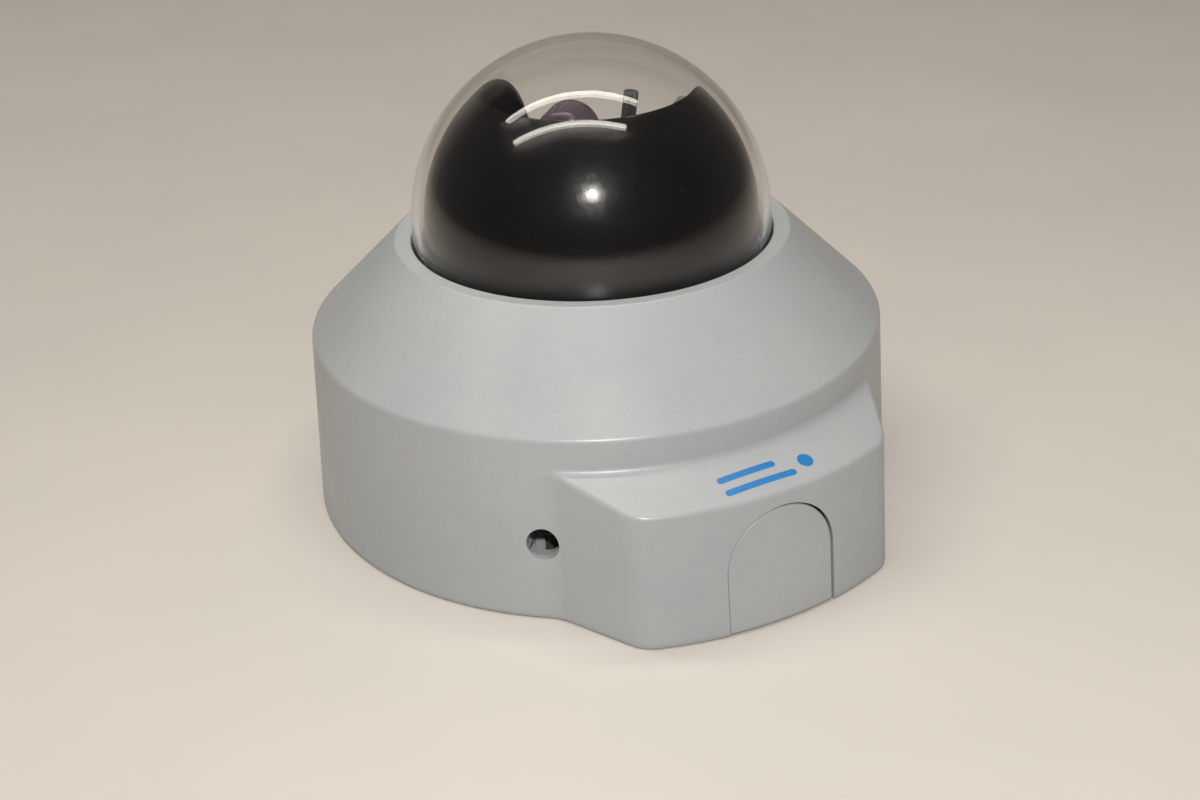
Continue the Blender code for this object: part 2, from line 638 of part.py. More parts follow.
def make_barrel(black, parent):
    inner = 9.2
    profile = [(inner, 12.3), (BARREL_R, 12.3), (BARREL_R, 21.7), (CORE_R, 21.7), (CORE_R, 29.3)]
    profile += [(BARREL_R, 29.3), (BARREL_R, 35.7), (CORE_R, 35.7), (CORE_R, 45.4), (inner, 45.4)]
    finish(lathe(profile, LENS_SEGMENTS), "lens_barrel", black, parent)


def make_iris(gloss, parent):
    """Drum of the iris motor beside the barrel, on a short neck."""
    centre = iris_axis()
    drum = [(0.0, IRIS_LOW), (IRIS_R - 1.5, IRIS_LOW), (IRIS_R, IRIS_LOW + 1.5)]
    drum += [(IRIS_R, IRIS_HIGH - 2.0), (IRIS_R - 2.0, IRIS_HIGH), (0.0, IRIS_HIGH)]
    body = place(lathe(drum, 20), shift(*centre))
    neck = place(box((-7.0, BARREL_R - 3.0, IRIS_LOW + 0.4), (7.0, IRIS_OFFSET - 5.0, 20.5)),
                 spin(-math.degrees(IRIS_ANGLE)))
    body = join(body, neck)
    body = cut(body, rod(BARREL_R + FIT, 10.0, 33.0, 30))
    body = cut(body, rod(LENS_RING_R + 2.0 * FIT, 21.0, 33.0, 36))
    return finish(body, "iris_motor", gloss, parent)


def lens_ring(low, high, ribs, screw_turn, name, material, parent):
    """Ribbed turning ring with a threaded hole for its lock screw."""
    bm = bmesh.new()
    count = ribs * 2
    outer_r, inner_r = LENS_RING_R, CORE_R + FIT
    rows = []
    for z in (low, high):
        for inner in (True, False):
            row = []
            for i in range(count):
                turn = 2.0 * math.pi * i / count
                r = inner_r if inner else outer_r - (0.6 if i % 2 else 0.0)
                row.append(bm.verts.new((r * math.cos(turn), r * math.sin(turn), z)))
            rows.append(row)
    low_in, low_out, high_in, high_out = rows
    for i in range(count):
        j = (i + 1) % count
        bm.faces.new((low_in[i], low_out[i], low_out[j], low_in[j]))
        bm.faces.new((high_in[i], high_in[j], high_out[j], high_out[i]))
        bm.faces.new((low_out[i], high_out[i], high_out[j], low_out[j]))
        bm.faces.new((low_in[i], low_in[j], high_in[j], high_in[i]))
    ring = finish_mesh(name, bm)
    hole = rod(1.3, CORE_R, 20.0, 12)
    middle = (low + high) / 2.0
    ring = cut(ring, place(hole, shift(0.0, 0.0, middle) @ spin(screw_turn) @ spin(-90.0, "X")))
    return finish(ring, name, material, parent)


def lens_lock_screw(middle, screw_turn, head_low, head_high, name, material, parent):
    matrix = shift(0.0, 0.0, middle) @ spin(screw_turn) @ spin(-90.0, "X")
    thumb_screw(LENS_KNOB_R, head_low, head_high, CORE_R + 0.9, 1.0, name, material, parent, matrix)


def make_front_lens(glass, black, parent):
    rise = [i / 5.0 for i in range(1, 6)]
    dome = [(10.6 * t, 49.4 - 1.9 * t * t) for t in reversed(rise)]
    profile = [(0.0, 46.2), (10.6, 46.2)] + dome + [(0.0, 49.4)]
    finish(lathe(profile, LENS_SEGMENTS), "front_lens", glass, parent)
    bezel = [(10.9, 45.8), (11.4, 45.8), (11.4, 46.0), (BARREL_R, 46.0), (BARREL_R, 50.0)]
    bezel += [(12.8, 50.0), (10.9, 48.0)]
    finish(lathe(bezel, LENS_SEGMENTS), "lens_bezel", black, parent)


# ---------- assembly ----------

def clear_scene():
    for item in list(bpy.data.objects):
        bpy.data.objects.remove(item)


def main():
    clear_scene()
    paint = make_material("paint", (0.40, 0.43, 0.43), 0.38)
    clear = make_material("clear_plastic", (0.95, 0.96, 0.96), 0.03, alpha=0.2)
    gloss = make_material("gloss_black", (0.006, 0.006, 0.007), 0.12)
    matte = make_material("matte_black", (0.02, 0.02, 0.02), 0.5)
    drum = make_material("iris_plastic", (0.035, 0.028, 0.034), 0.2)
    alloy = make_material("cast_alloy", (0.55, 0.56, 0.57), 0.45, 1.0)
    steel = make_material("steel", (0.6, 0.6, 0.6), 0.3, 1.0)
    brass = make_material("brass", (0.75, 0.6, 0.3), 0.3, 1.0)
    rubber = make_material("rubber", (0.015, 0.015, 0.015), 0.8)
    laminate = make_material("board_green", (0.02, 0.12, 0.05), 0.4)
    connector = make_material("connector_green", (0.03, 0.3, 0.12), 0.45)
    bearing = make_material("bearing_white", (0.8, 0.8, 0.78), 0.4)
    sensor = make_material("sensor_black", (0.01, 0.01, 0.012), 0.1)
    glass = make_material("coated_glass", (0.05, 0.03, 0.09), 0.02, alpha=0.5)

    make_base(alloy)
    make_base_seal(rubber)
    make_main_board(laminate, brass, connector, steel)
    make_pan_base(alloy, steel, bearing)
    make_cover_screws(steel)

    make_cover(paint)
    make_bubble(clear)
    make_bubble_fixing(rubber, steel)
    make_conduit_plate(paint)

    pan = axis_empty("pan_axis", Matrix.Rotation(PAN_REST, 4, "Z"))
    make_turntable(matte, steel, pan)
    make_liner(gloss, steel, pan)
    make_arm(-1.0, None, "yoke_arm_left", steel, pan)
    make_arm(1.0, SPHERE_Z + 42.0, "yoke_arm_right", steel, pan)
    thumb_screw(6.0, LINER_BOTTOM_Z + FIT, LINER_BOTTOM_Z + 6.3, 57.8, 1.9, "pan_lock_screw",
                matte, pan, shift(0.0, -PAN_SCREW_R, 0.0))

    tilt_frame = Matrix.Translation((0.0, 0.0, SPHERE_Z * MM)) @ Matrix.Rotation(TILT_REST, 4, "X")
    tilt = axis_empty("tilt_axis", tilt_frame, pan)
    make_cradle(matte, tilt)
    make_tilt_knobs(matte, tilt)

    lens = axis_empty("lens_axis", spin(-90.0, "X") @ spin(180.0, "Z"), tilt)
    make_camera_can(matte, laminate, sensor, alloy, lens)
    make_barrel(matte, lens)
    make_iris(drum, lens)
    lens_ring(22.0, 29.0, 18, 90.0 + 20.0, "zoom_ring", matte, lens)
    lens_lock_screw(25.5, 90.0 + 20.0, 18.0, 27.0, "zoom_lock_screw", matte, lens)
    lens_ring(36.0, 45.0, 18, 9.0, "focus_ring", matte, lens)
    lens_lock_screw(40.5, 9.0, 20.5, 32.5, "focus_lock_screw", matte, lens)
    make_front_lens(glass, matte, lens)


main()
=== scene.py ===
"""Looks of the dome camera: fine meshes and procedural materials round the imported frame.

Lengths are millimetres unless a name ends in _M; meshes are turned into metres by MM.
"""
import json
import math

import bmesh
import bpy
import numpy as np
from mathutils import Euler, Matrix, Vector


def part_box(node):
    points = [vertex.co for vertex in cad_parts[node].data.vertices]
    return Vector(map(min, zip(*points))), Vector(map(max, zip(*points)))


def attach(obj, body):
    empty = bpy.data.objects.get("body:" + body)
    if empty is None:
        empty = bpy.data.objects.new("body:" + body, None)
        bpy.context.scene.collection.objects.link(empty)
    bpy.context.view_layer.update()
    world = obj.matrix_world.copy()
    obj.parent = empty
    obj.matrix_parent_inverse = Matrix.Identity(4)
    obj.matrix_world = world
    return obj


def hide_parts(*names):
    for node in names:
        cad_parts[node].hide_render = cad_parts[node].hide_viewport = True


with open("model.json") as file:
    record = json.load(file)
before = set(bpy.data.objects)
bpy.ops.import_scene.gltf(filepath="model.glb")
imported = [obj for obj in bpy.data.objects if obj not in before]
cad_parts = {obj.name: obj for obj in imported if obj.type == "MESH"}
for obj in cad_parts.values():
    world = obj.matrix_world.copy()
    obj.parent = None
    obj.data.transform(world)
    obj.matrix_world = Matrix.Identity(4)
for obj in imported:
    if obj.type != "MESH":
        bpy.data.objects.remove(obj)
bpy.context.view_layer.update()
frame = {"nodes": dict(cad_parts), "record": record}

MM = 0.001


def box_mm(node):
    low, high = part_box(node)
    return low / MM, high / MM


# ---------- sizes, some of them read from the frame ----------

COVER_LOW, COVER_HIGH = box_mm("housing_cover")
PLATE_LOW = box_mm("conduit_plate")[0]
BUBBLE_LOW, BUBBLE_HIGH = box_mm("dome_bubble")
LINER_LOW = box_mm("inner_liner")[0]
BOTTOM_Z = COVER_LOW.z
COLLAR_Z = COVER_HIGH.z
SKIRT_R = COVER_HIGH.x
SKIRT_TOP_R = SKIRT_R - 3.3
SKIRT_TOP_Z = COLLAR_Z - 31.5
COLLAR_R = 69.9
COLLAR_HOLE_R = 64.2
WALL = 3.0
SNOUT_FRONT_R = -COVER_LOW.y
SNOUT_FRONT_DRAFT = 0.0722
SNOUT_SIDE_POINT = (62.2, 85.3)
SNOUT_SIDE_ANGLE = math.radians(25.9)
SNOUT_SIDE_DRAFT = 0.035
SNOUT_ROOF_R = 103.3
SNOUT_ROOF_Z = 53.7
SNOUT_ROOF_SLOPE = 0.3756
SNOUT_BACK_Y = -60.0
SKIRT_EDGE_R = 0.6
COLLAR_EDGE_R = 0.3
SNOUT_CORNER_R = 3.3
SNOUT_EDGE_R = 1.2
SNOUT_FILLET_R = 1.5
ARCH_HALF = 20.2
ARCH_CENTRE_Z = 22.0
PLATE_SHIFT = 0.25          # the plate sits a little left in its opening
BUBBLE_R = 63.5
SPHERE_Z = BUBBLE_HIGH.z - BUBBLE_R
BUBBLE_WALL = 2.5
LINER_R = 59.1
LINER_WALL = 1.3
SLOT_HALF = 36.5
SLOT_BOTTOM_Z = 84.0
TOOL_HOLE_R = 5.5
TOOL_HOLE_Z = 28.0
COVER_SCREW_ANGLES = (-128.5, -51.5, 90.0)
RING_SCREW_ANGLES = (45.0, 135.0, 225.0, 315.0)
RING_SCREW_R = 70.4
LINER_SCREW_ANGLES = (90.0, 210.0, 330.0)
LINER_SCREW_Z = 68.2
PAN_SCREW_R = 44.0
CAN_R = 19.5
BARREL_R = 14.5
CORE_R = 11.5
LENS_RING_R = BARREL_R + 1.0
ZOOM_RING_Z = (22.0, 29.0)
FOCUS_RING_Z = (36.0, 45.0)
ZOOM_LOCK_ANGLE = 110.0
FOCUS_LOCK_ANGLE = 9.0
IRIS_ANGLE = math.radians(33.0)
IRIS_OFFSET = 26.0
IRIS_R = 10.6
IRIS_LOW = 13.5
IRIS_HIGH = 30.0
LENS_KNOB_R = 2.8
ARM_X = 30.0
ARM_THICK = 3.0

PAN_FRAME = Matrix.Rotation(math.radians(-45.0), 4, "Z")
TILT_FRAME = PAN_FRAME @ Matrix.Translation((0.0, 0.0, SPHERE_Z)) @ Matrix.Rotation(math.radians(3.0), 4, "X")
LENS_FRAME = TILT_FRAME @ Matrix.Rotation(math.radians(-90.0), 4, "X") @ Matrix.Rotation(math.pi, 4, "Z")


# ---------- camera and lights --------------

def add_camera():
    data = bpy.data.cameras.new("camera")
    data.sensor_width = 36.0
    data.lens = 50.8
    data.clip_start = 0.01
    camera = bpy.data.objects.new("camera", data)
    camera.location = (-0.25885, -0.49937, 0.31827)
    tilt, roll, heading = (math.radians(a) for a in (62.526, 2.1805, -28.556))
    camera.rotation_euler = Euler((tilt, roll, heading))
    bpy.context.scene.collection.objects.link(camera)
    bpy.context.scene.camera = camera


def add_lamp(name, place, target, size, power, colour, length=None):
    """Disk lamp, or a strip of that length when one is given. A strip's length lies along target."""
    data = bpy.data.lights.new(name, "AREA")
    data.energy = power
    data.color = colour
    data.size = size
    lamp = bpy.data.objects.new(name, data)
    lamp.location = place
    if length:
        data.shape = "RECTANGLE"
        data.size = length
        data.size_y = size
        lamp.rotation_euler = (0.0, 0.0, math.atan2(target[1], target[0]))
    else:
        data.shape = "DISK"
        aim = Vector(target) - Vector(place)
        lamp.rotation_euler = aim.to_track_quat("-Z", "Y").to_euler()
    bpy.context.scene.collection.objects.link(lamp)


def add_lights():
    """Two long ceiling strips, a small lamp by the camera and even warm light from all round."""
    warm = (1.0, 0.94, 0.85)
    along = (0.86, -0.50)
    add_lamp("strip_far", (-0.15, 0.51, 2.0), along, 0.10, 15.0, warm, 2.5)
    add_lamp("strip_near", (-0.57, -0.09, 2.0), along, 0.10, 15.0, warm, 2.4)
    add_lamp("near_camera", (-0.33, -0.67, 0.61), (0.0, 0.0, 0.07), 0.05, 6.0, (1.0, 0.97, 0.93))
    world = bpy.data.worlds.new("room")
    world.use_nodes = True
    world.node_tree.nodes["Background"].inputs["Color"].default_value = (0.86, 0.78, 0.70, 1.0)
    world.node_tree.nodes["Background"].inputs["Strength"].default_value = 0.124
    bpy.context.scene.world = world
    bpy.context.scene.view_settings.view_transform = "Standard"


# ---------- node helpers ----------

class Nodes:
    """Short way to build a material's node tree."""

    def __init__(self, name):
        self.material = bpy.data.materials.new(name)
        self.material.use_nodes = True
        self.tree = self.material.node_tree
        self.shader = self.tree.nodes["Principled BSDF"]
        self.place = self.add("ShaderNodeTexCoord").outputs["Object"]

    def add(self, kind, **values):
        node = self.tree.nodes.new(kind)
        for key, value in values.items():
            setattr(node, key, value)
        return node

    def link(self, source, target):
        self.tree.links.new(source, target)

    def noise(self, scale, detail=3.0, roughness=0.55, stretch=None):
        node = self.add("ShaderNodeTexNoise")
        node.inputs["Scale"].default_value = scale
        node.inputs["Detail"].default_value = detail
        node.inputs["Roughness"].default_value = roughness
        source = self.place
        if stretch:
            mapping = self.add("ShaderNodeMapping")
            mapping.inputs["Scale"].default_value = stretch
            self.link(source, mapping.inputs["Vector"])
            source = mapping.outputs["Vector"]
        self.link(source, node.inputs["Vector"])
        return node.outputs["Fac"]

    def ramp(self, source, low, high, bottom=0.0, top=1.0):
        node = self.add("ShaderNodeMapRange", clamp=True)
        for key, value in (("From Min", low), ("From Max", high), ("To Min", bottom), ("To Max", top)):
            node.inputs[key].default_value = value
        self.link(source, node.inputs["Value"])
        return node.outputs["Result"]

    def maths(self, operation, first, second):
        node = self.add("ShaderNodeMath", operation=operation)
        for socket, value in zip(node.inputs, (first, second)):
            if isinstance(value, (int, float)):
                socket.default_value = value
            else:
                self.link(value, socket)
        return node.outputs["Value"]

    def blend(self, factor, first, second):
        node = self.add("ShaderNodeMix", data_type="RGBA")
        self.link(factor, node.inputs["Factor"])
        for socket, value in ((node.inputs[6], first), (node.inputs[7], second)):
            if isinstance(value, tuple):
                socket.default_value = (*value, 1.0)
            else:
                self.link(value, socket)
        return node.outputs[2]

    def bump(self, height, distance, strength=1.0):
        node = self.add("ShaderNodeBump")
        node.inputs["Strength"].default_value = strength
        node.inputs["Distance"].default_value = distance
        self.link(height, node.inputs["Height"])
        self.link(node.outputs["Normal"], self.shader.inputs["Normal"])

    def spot(self, centre, radius, soft):
        """1 inside a ball round a point of the surface, falling to 0 over soft, all in millimetres."""
        node = self.add("ShaderNodeVectorMath", operation="DISTANCE")
        self.link(self.place, node.inputs[0])
        node.inputs[1].default_value = [c * MM for c in centre]
        return self.ramp(node.outputs["Value"], (radius + soft) * MM, radius * MM)


def moulded(name, colour, rough, metallic=0.0, grain=2600.0, depth=0.00003, mottle=0.12, brushed=None):
    """General finish: slight mottling, uneven gloss and a fine grain."""
    n = Nodes(name)
    patches = n.noise(55.0, 4.0)
    darker = tuple(c * (1.0 - mottle) for c in colour)
    lighter = tuple(min(1.0, c * (1.0 + mottle)) for c in colour)
    n.link(n.blend(n.ramp(patches, 0.3, 0.7), darker, lighter), n.shader.inputs["Base Color"])
    fine = n.noise(grain, 2.0, stretch=brushed)
    n.link(n.ramp(n.noise(180.0, 3.0), 0.25, 0.75, rough * 0.85, min(1.0, rough * 1.2)),
           n.shader.inputs["Roughness"])
    n.shader.inputs["Metallic"].default_value = metallic
    n.bump(fine, depth)
    return n.material


# ---------- materials ----------

SCUFF_SPOTS = (((-39.0, -96.0, 54.0), 3.0, 5.0), ((-30.0, -101.5, 53.0), 4.0, 6.0),
               ((56.0, -88.0, 54.0), 3.0, 7.0), ((62.0, -83.0, 55.0), 4.0, 6.0))
CHIP_SPOT = (-37.0, -119.7, 45.4)
MARK_Z = 49.6
MARK_DOT = (14.5, -112.6)
MARK_DOT_R = 2.6
MARK_BARS = (((-4.0, -115.6), 12.0), ((-6.5, -110.6), 9.5))
MARK_BAR_R = 1.15


def mark_mask(n):
    """Plain printed mark on the snout's roof: two bars and a dot. It isn't lettering."""
    parts = n.add("ShaderNodeSeparateXYZ")
    n.link(n.place, parts.inputs["Vector"])
    x, y, z = parts.outputs
    mask = n.spot((*MARK_DOT, MARK_Z), MARK_DOT_R, 0.25)
    for (middle_x, middle_y), half in MARK_BARS:
        along = n.maths("ABSOLUTE", n.maths("SUBTRACT", x, middle_x * MM), 0.0)
        along = n.maths("MAXIMUM", n.maths("SUBTRACT", along, half * MM), 0.0)
        across = n.maths("SUBTRACT", y, middle_y * MM)
        squares = (n.maths("MULTIPLY", along, along), n.maths("MULTIPLY", across, across))
        reach = n.maths("SQRT", n.maths("ADD", *squares), 0.0)
        bar = n.ramp(reach, (MARK_BAR_R + 0.15) * MM, (MARK_BAR_R - 0.1) * MM)
        mask = n.maths("MAXIMUM", mask, bar)
    on_roof = n.ramp(z, (MARK_Z - 4.0) * MM, (MARK_Z - 3.5) * MM)
    wear = n.ramp(n.noise(1200.0, 3.0), 0.30, 0.36, 0.55, 1.0)
    return n.maths("MULTIPLY", n.maths("MULTIPLY", mask, on_roof), wear)


def paint_material():
    """Light grey satin powder coat with orange peel, dirt, scuffs and a chip."""
    n = Nodes("painted_housing")
    base = n.blend(n.ramp(n.noise(14.0, 4.0), 0.35, 0.65), (0.345, 0.370, 0.385), (0.380, 0.400, 0.412))
    base = n.blend(n.ramp(n.noise(420.0, 2.0), 0.4, 0.8, 0.0, 0.25), base, (0.31, 0.33, 0.34))
    specks = n.ramp(n.noise(900.0, 1.0), 0.775, 0.80, 0.0, 0.5)
    base = n.blend(specks, base, (0.16, 0.15, 0.13))
    scuffs = n.ramp(n.noise(300.0, 5.0, 0.7, (0.6, 2.0, 3.0)), 0.64, 0.74, 0.0, 0.7)
    total = None
    for centre, radius, soft in SCUFF_SPOTS:
        mask = n.spot(centre, radius, soft)
        total = mask if total is None else n.maths("MAXIMUM", total, mask)
    base = n.blend(n.maths("MULTIPLY", scuffs, total), base, (0.14, 0.13, 0.12))
    ragged = n.ramp(n.noise(900.0, 3.0), 0.42, 0.5)
    chip = n.maths("MULTIPLY", n.spot(CHIP_SPOT, 1.5, 1.3), ragged)
    base = n.blend(chip, base, (0.36, 0.25, 0.15))
    base = n.blend(mark_mask(n), base, (0.01, 0.17, 0.46))
    n.link(base, n.shader.inputs["Base Color"])
    rough = n.ramp(n.noise(60.0, 4.0), 0.3, 0.7, 0.30, 0.40)
    n.link(n.maths("ADD", rough, n.maths("MULTIPLY", specks, 0.3)), n.shader.inputs["Roughness"])
    peel = n.noise(650.0, 2.0, 0.5)
    height = n.maths("SUBTRACT", peel, n.maths("MULTIPLY", chip, 1.5))
    n.bump(height, 0.00006, 0.5)
    return n.material


def clear_material():
    """Clear polycarbonate with a breath of haze and fine hairline scratches."""
    n = Nodes("clear_bubble")
    shader = n.shader
    shader.inputs["Base Color"].default_value = (1.0, 1.0, 0.995, 1.0)
    shader.inputs["Transmission Weight"].default_value = 1.0
    shader.inputs["IOR"].default_value = 1.38
    haze = n.ramp(n.noise(38.0, 5.0, 0.6), 0.45, 0.75, 0.0, 0.02)
    n.link(haze, shader.inputs["Roughness"])
    n.bump(n.ramp(n.noise(700.0, 6.0, 0.7, (1.0, 0.25, 1.0)), 0.66, 0.7), 0.000012, 0.25)
    passing = n.add("ShaderNodeBsdfTransparent")
    passing.inputs["Color"].default_value = (0.96, 0.96, 0.95, 1.0)
    light = n.add("ShaderNodeLightPath")
    mix = n.add("ShaderNodeMixShader")
    n.link(light.outputs["Is Shadow Ray"], mix.inputs["Fac"])
    n.link(shader.outputs["BSDF"], mix.inputs[1])
    n.link(passing.outputs["BSDF"], mix.inputs[2])
    n.link(mix.outputs["Shader"], n.tree.nodes["Material Output"].inputs["Surface"])
    return n.material


def liner_material():
    """Gloss black moulding with dust and swirl marks."""
    n = Nodes("gloss_liner")
    dust = n.ramp(n.noise(120.0, 6.0, 0.7), 0.5, 0.8, 0.0, 0.35)
    base = n.blend(dust, (0.0010, 0.0010, 0.0012), (0.004, 0.0037, 0.0037))
    specks = n.ramp(n.noise(1500.0, 1.0), 0.76, 0.79, 0.0, 0.5)
    base = n.blend(specks, base, (0.16, 0.15, 0.14))
    n.link(base, n.shader.inputs["Base Color"])
    n.link(n.ramp(n.noise(520.0, 6.0, 0.7), 0.35, 0.7, 0.13, 0.28), n.shader.inputs["Roughness"])
    n.shader.inputs["Specular IOR Level"].default_value = 0.2
    n.bump(n.noise(1100.0, 5.0, 0.65, (1.0, 0.35, 0.35)), 0.00005, 0.45)
    return n.material


def lens_glass_material():
    n = Nodes("coated_front_glass")
    n.shader.inputs["Transmission Weight"].default_value = 0.6
    n.shader.inputs["IOR"].default_value = 1.6
    n.shader.inputs["Coat Weight"].default_value = 1.0
    n.shader.inputs["Coat Roughness"].default_value = 0.02
    tint = n.blend(n.ramp(n.noise(70.0, 2.0), 0.3, 0.7), (0.05, 0.02, 0.10), (0.02, 0.05, 0.09))
    n.link(tint, n.shader.inputs["Base Color"])
    n.link(n.ramp(n.noise(300.0, 3.0), 0.4, 0.8, 0.02, 0.05), n.shader.inputs["Roughness"])
    return n.material


def board_material():
    """Green solder mask with fine copper tracks showing through."""
    n = Nodes("circuit_board")
    brick = n.add("ShaderNodeTexBrick")
    brick.inputs["Scale"].default_value = 260.0
    brick.inputs["Mortar Size"].default_value = 0.06
    brick.inputs["Color1"].default_value = (0.010, 0.075, 0.030, 1.0)
    brick.inputs["Color2"].default_value = (0.014, 0.095, 0.038, 1.0)
    brick.inputs["Mortar"].default_value = (0.05, 0.21, 0.07, 1.0)
    n.link(n.place, brick.inputs["Vector"])
    patches = n.ramp(n.noise(40.0, 2.0), 0.4, 0.6, 0.0, 0.4)
    n.link(n.blend(patches, brick.outputs["Color"], (0.012, 0.10, 0.04)), n.shader.inputs["Base Color"])
    n.link(n.ramp(n.noise(500.0, 2.0), 0.3, 0.7, 0.28, 0.42), n.shader.inputs["Roughness"])
    n.bump(brick.outputs["Fac"], 0.00004, 0.5)
    return n.material


MATERIALS = {
    "paint": paint_material(),
    "clear_plastic": clear_material(),
    "gloss_black": liner_material(),
    "matte_black": moulded("moulded_black", (0.018, 0.018, 0.019), 0.48, 0.0, 2200.0, 0.00005, 0.2),
    "iris_plastic": moulded("iris_drum", (0.040, 0.028, 0.038), 0.20, 0.0, 500.0, 0.00001, 0.25),
    "cast_alloy": moulded("cast_alloy", (0.46, 0.47, 0.48), 0.46, 1.0, 1100.0, 0.00008, 0.10),
    "steel": moulded("plated_steel", (0.58, 0.58, 0.57), 0.28, 1.0, 1500.0, 0.00003, 0.08,
                     (1.0, 12.0, 1.0)),
    "brass": moulded("nickel_brass", (0.66, 0.52, 0.28), 0.30, 1.0, 1500.0, 0.00002, 0.10),
    "rubber": moulded("seal_rubber", (0.014, 0.014, 0.014), 0.78, 0.0, 1600.0, 0.00008, 0.25),
    "board_green": board_material(),
    "connector_green": moulded("connector_plastic", (0.02, 0.22, 0.08), 0.42, 0.0, 1800.0, 0.00004),
    "bearing_white": moulded("bearing_plastic", (0.72, 0.72, 0.69), 0.42, 0.0, 1500.0, 0.00004, 0.05),
    "sensor_black": moulded("sensor_cover", (0.012, 0.014, 0.02), 0.10, 0.0, 400.0, 0.000005, 0.3),
    "coated_glass": lens_glass_material(),
}
SLOT_OF = {entry["node"]: entry["material_slot"] for entry in frame["record"]["subparts"]}


# ---------- mesh helpers ----------

def piece_from(name, bm, sharp=35.0):
    bmesh.ops.recalc_face_normals(bm, faces=bm.faces)
    mesh = bpy.data.meshes.new(name)
    bm.to_mesh(mesh)
    bm.free()
    mesh.shade_smooth()
    mesh.set_sharp_from_angle(angle=math.radians(sharp))
    piece = bpy.data.objects.new(name, mesh)
    bpy.context.scene.collection.objects.link(piece)
    return piece


def scaled(matrix):
    """A millimetre placement as a matrix that also turns millimetres into metres."""
    return Matrix.Scale(MM, 4) @ matrix


def soften(profile, radius, steps=3):
    """Round every corner of a closed (r, z) outline, except those on the axis."""
    result = []
    count = len(profile)
    for i, point in enumerate(profile):
        here = Vector(point)
        back = Vector(profile[i - 1]) - here
        ahead = Vector(profile[(i + 1) % count]) - here
        if point[0] == 0.0 or back.length < 1e-6 or ahead.length < 1e-6:
            result.append(point)
            continue
        angle = back.angle(ahead)
        reach = min(radius, back.length * 0.4, ahead.length * 0.4)
        if angle > math.radians(165.0) or angle < math.radians(15.0):
            result.append(point)
            continue
        start = here + back.normalized() * reach
        end = here + ahead.normalized() * reach
        for k in range(steps + 1):
            t = k / steps
            result.append(tuple((1 - t) ** 2 * start + 2 * t * (1 - t) * here + t ** 2 * end))
    return result


def lathe(bm, profile, segments, matrix):
    """Turn a closed outline about local Z into the mesh."""
    rings = []
    for r, z in profile:
        if r < 1e-6:
            rings.append([bm.verts.new(matrix @ Vector((0.0, 0.0, z)))])
            continue
        turn = [2.0 * math.pi * i / segments for i in range(segments)]
        rings.append([bm.verts.new(matrix @ Vector((r * math.cos(a), r * math.sin(a), z))) for a in turn])
    for ring, following in zip(rings, rings[1:] + rings[:1]):
        if len(ring) == 1 and len(following) == 1:
            continue
        for i in range(segments):
            j = (i + 1) % segments
            corners = [ring[i % len(ring)], ring[j % len(ring)]]
            corners += [following[j % len(following)], following[i % len(following)]]
            bm.faces.new(list(dict.fromkeys(corners)))


def turned(name, profile, matrix, radius=0.3, segments=96, sharp=35.0):
    bm = bmesh.new()
    lathe(bm, soften(profile, radius), segments, scaled(matrix))
    return piece_from(name, bm, sharp)


def prism(name, outline, low, high, matrix):
    bm = bmesh.new()
    place = scaled(matrix)
    bottom = [bm.verts.new(place @ Vector((x, y, low))) for x, y in outline]
    top = [bm.verts.new(place @ Vector((x, y, high))) for x, y in outline]
    bm.faces.new(bottom)
    bm.faces.new(top)
    for i in range(len(outline)):
        j = (i + 1) % len(outline)
        bm.faces.new((bottom[i], bottom[j], top[j], top[i]))
    return piece_from(name, bm)


def block(name, low, high, matrix):
    outline = [(low[0], low[1]), (high[0], low[1]), (high[0], high[1]), (low[0], high[1])]
    return prism(name, outline, low[2], high[2], matrix)


def arc(radius, start, end, steps, centre=(0.0, 0.0)):
    turn = [start + (end - start) * i / steps for i in range(steps + 1)]
    return [(centre[0] + radius * math.cos(a), centre[1] + radius * math.sin(a)) for a in turn]


def apply_modifiers(piece):
    graph = bpy.context.evaluated_depsgraph_get()
    graph.update()
    mesh = bpy.data.meshes.new_from_object(piece.evaluated_get(graph))
    piece.modifiers.clear()
    piece.data = mesh
    return piece


def combine(piece, tool, operation="DIFFERENCE"):
    modifier = piece.modifiers.new("cut", "BOOLEAN")
    modifier.operation = operation
    modifier.solver = "MANIFOLD"
    modifier.object = tool
    apply_modifiers(piece)
    bpy.data.objects.remove(tool)
    return piece


def bevelled(piece, width, angle=35.0, segments=2):
    modifier = piece.modifiers.new("edges", "BEVEL")
    modifier.width = width * MM
    modifier.segments = segments
    modifier.limit_method = "ANGLE"
    modifier.angle_limit = math.radians(angle)
    apply_modifiers(piece)
    piece.data.shade_smooth()
    piece.data.set_sharp_from_angle(angle=math.radians(40.0))
    return piece


def radial(angle, height):
    """Local +Z points outwards at this angle, local +Y points down."""
    turn = Matrix.Rotation(math.radians(angle), 4, "Z")
    return (turn @ Matrix.Translation((0.0, 0.0, height))
            @ Matrix.Rotation(math.radians(-90.0), 4, "Z") @ Matrix.Rotation(math.radians(-90.0), 4, "X"))


def upright(angle, radius):
    """Local +Z stays upwards, at this angle round the pan axis and this far from it."""
    return Matrix.Rotation(math.radians(angle), 4, "Z") @ Matrix.Translation((radius, 0.0, 0.0))


def install(piece, body, *nodes):
    """Give a piece its slot's material, hang it on its body and hide the nodes it stands for."""
    slot = SLOT_OF[nodes[0]]
    piece.data.materials.clear()
    piece.data.materials.append(MATERIALS[slot])
    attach(piece, body)
    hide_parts(*nodes)
    return piece


# ---------- housing cover as a distance field, meshed along rays ----------

def round_common(a, b, radius):
    """Intersection of two distances with a rounded edge."""
    return (np.minimum(np.maximum(a, b), -radius)
            + np.hypot(np.maximum(radius + a, 0.0), np.maximum(radius + b, 0.0)))


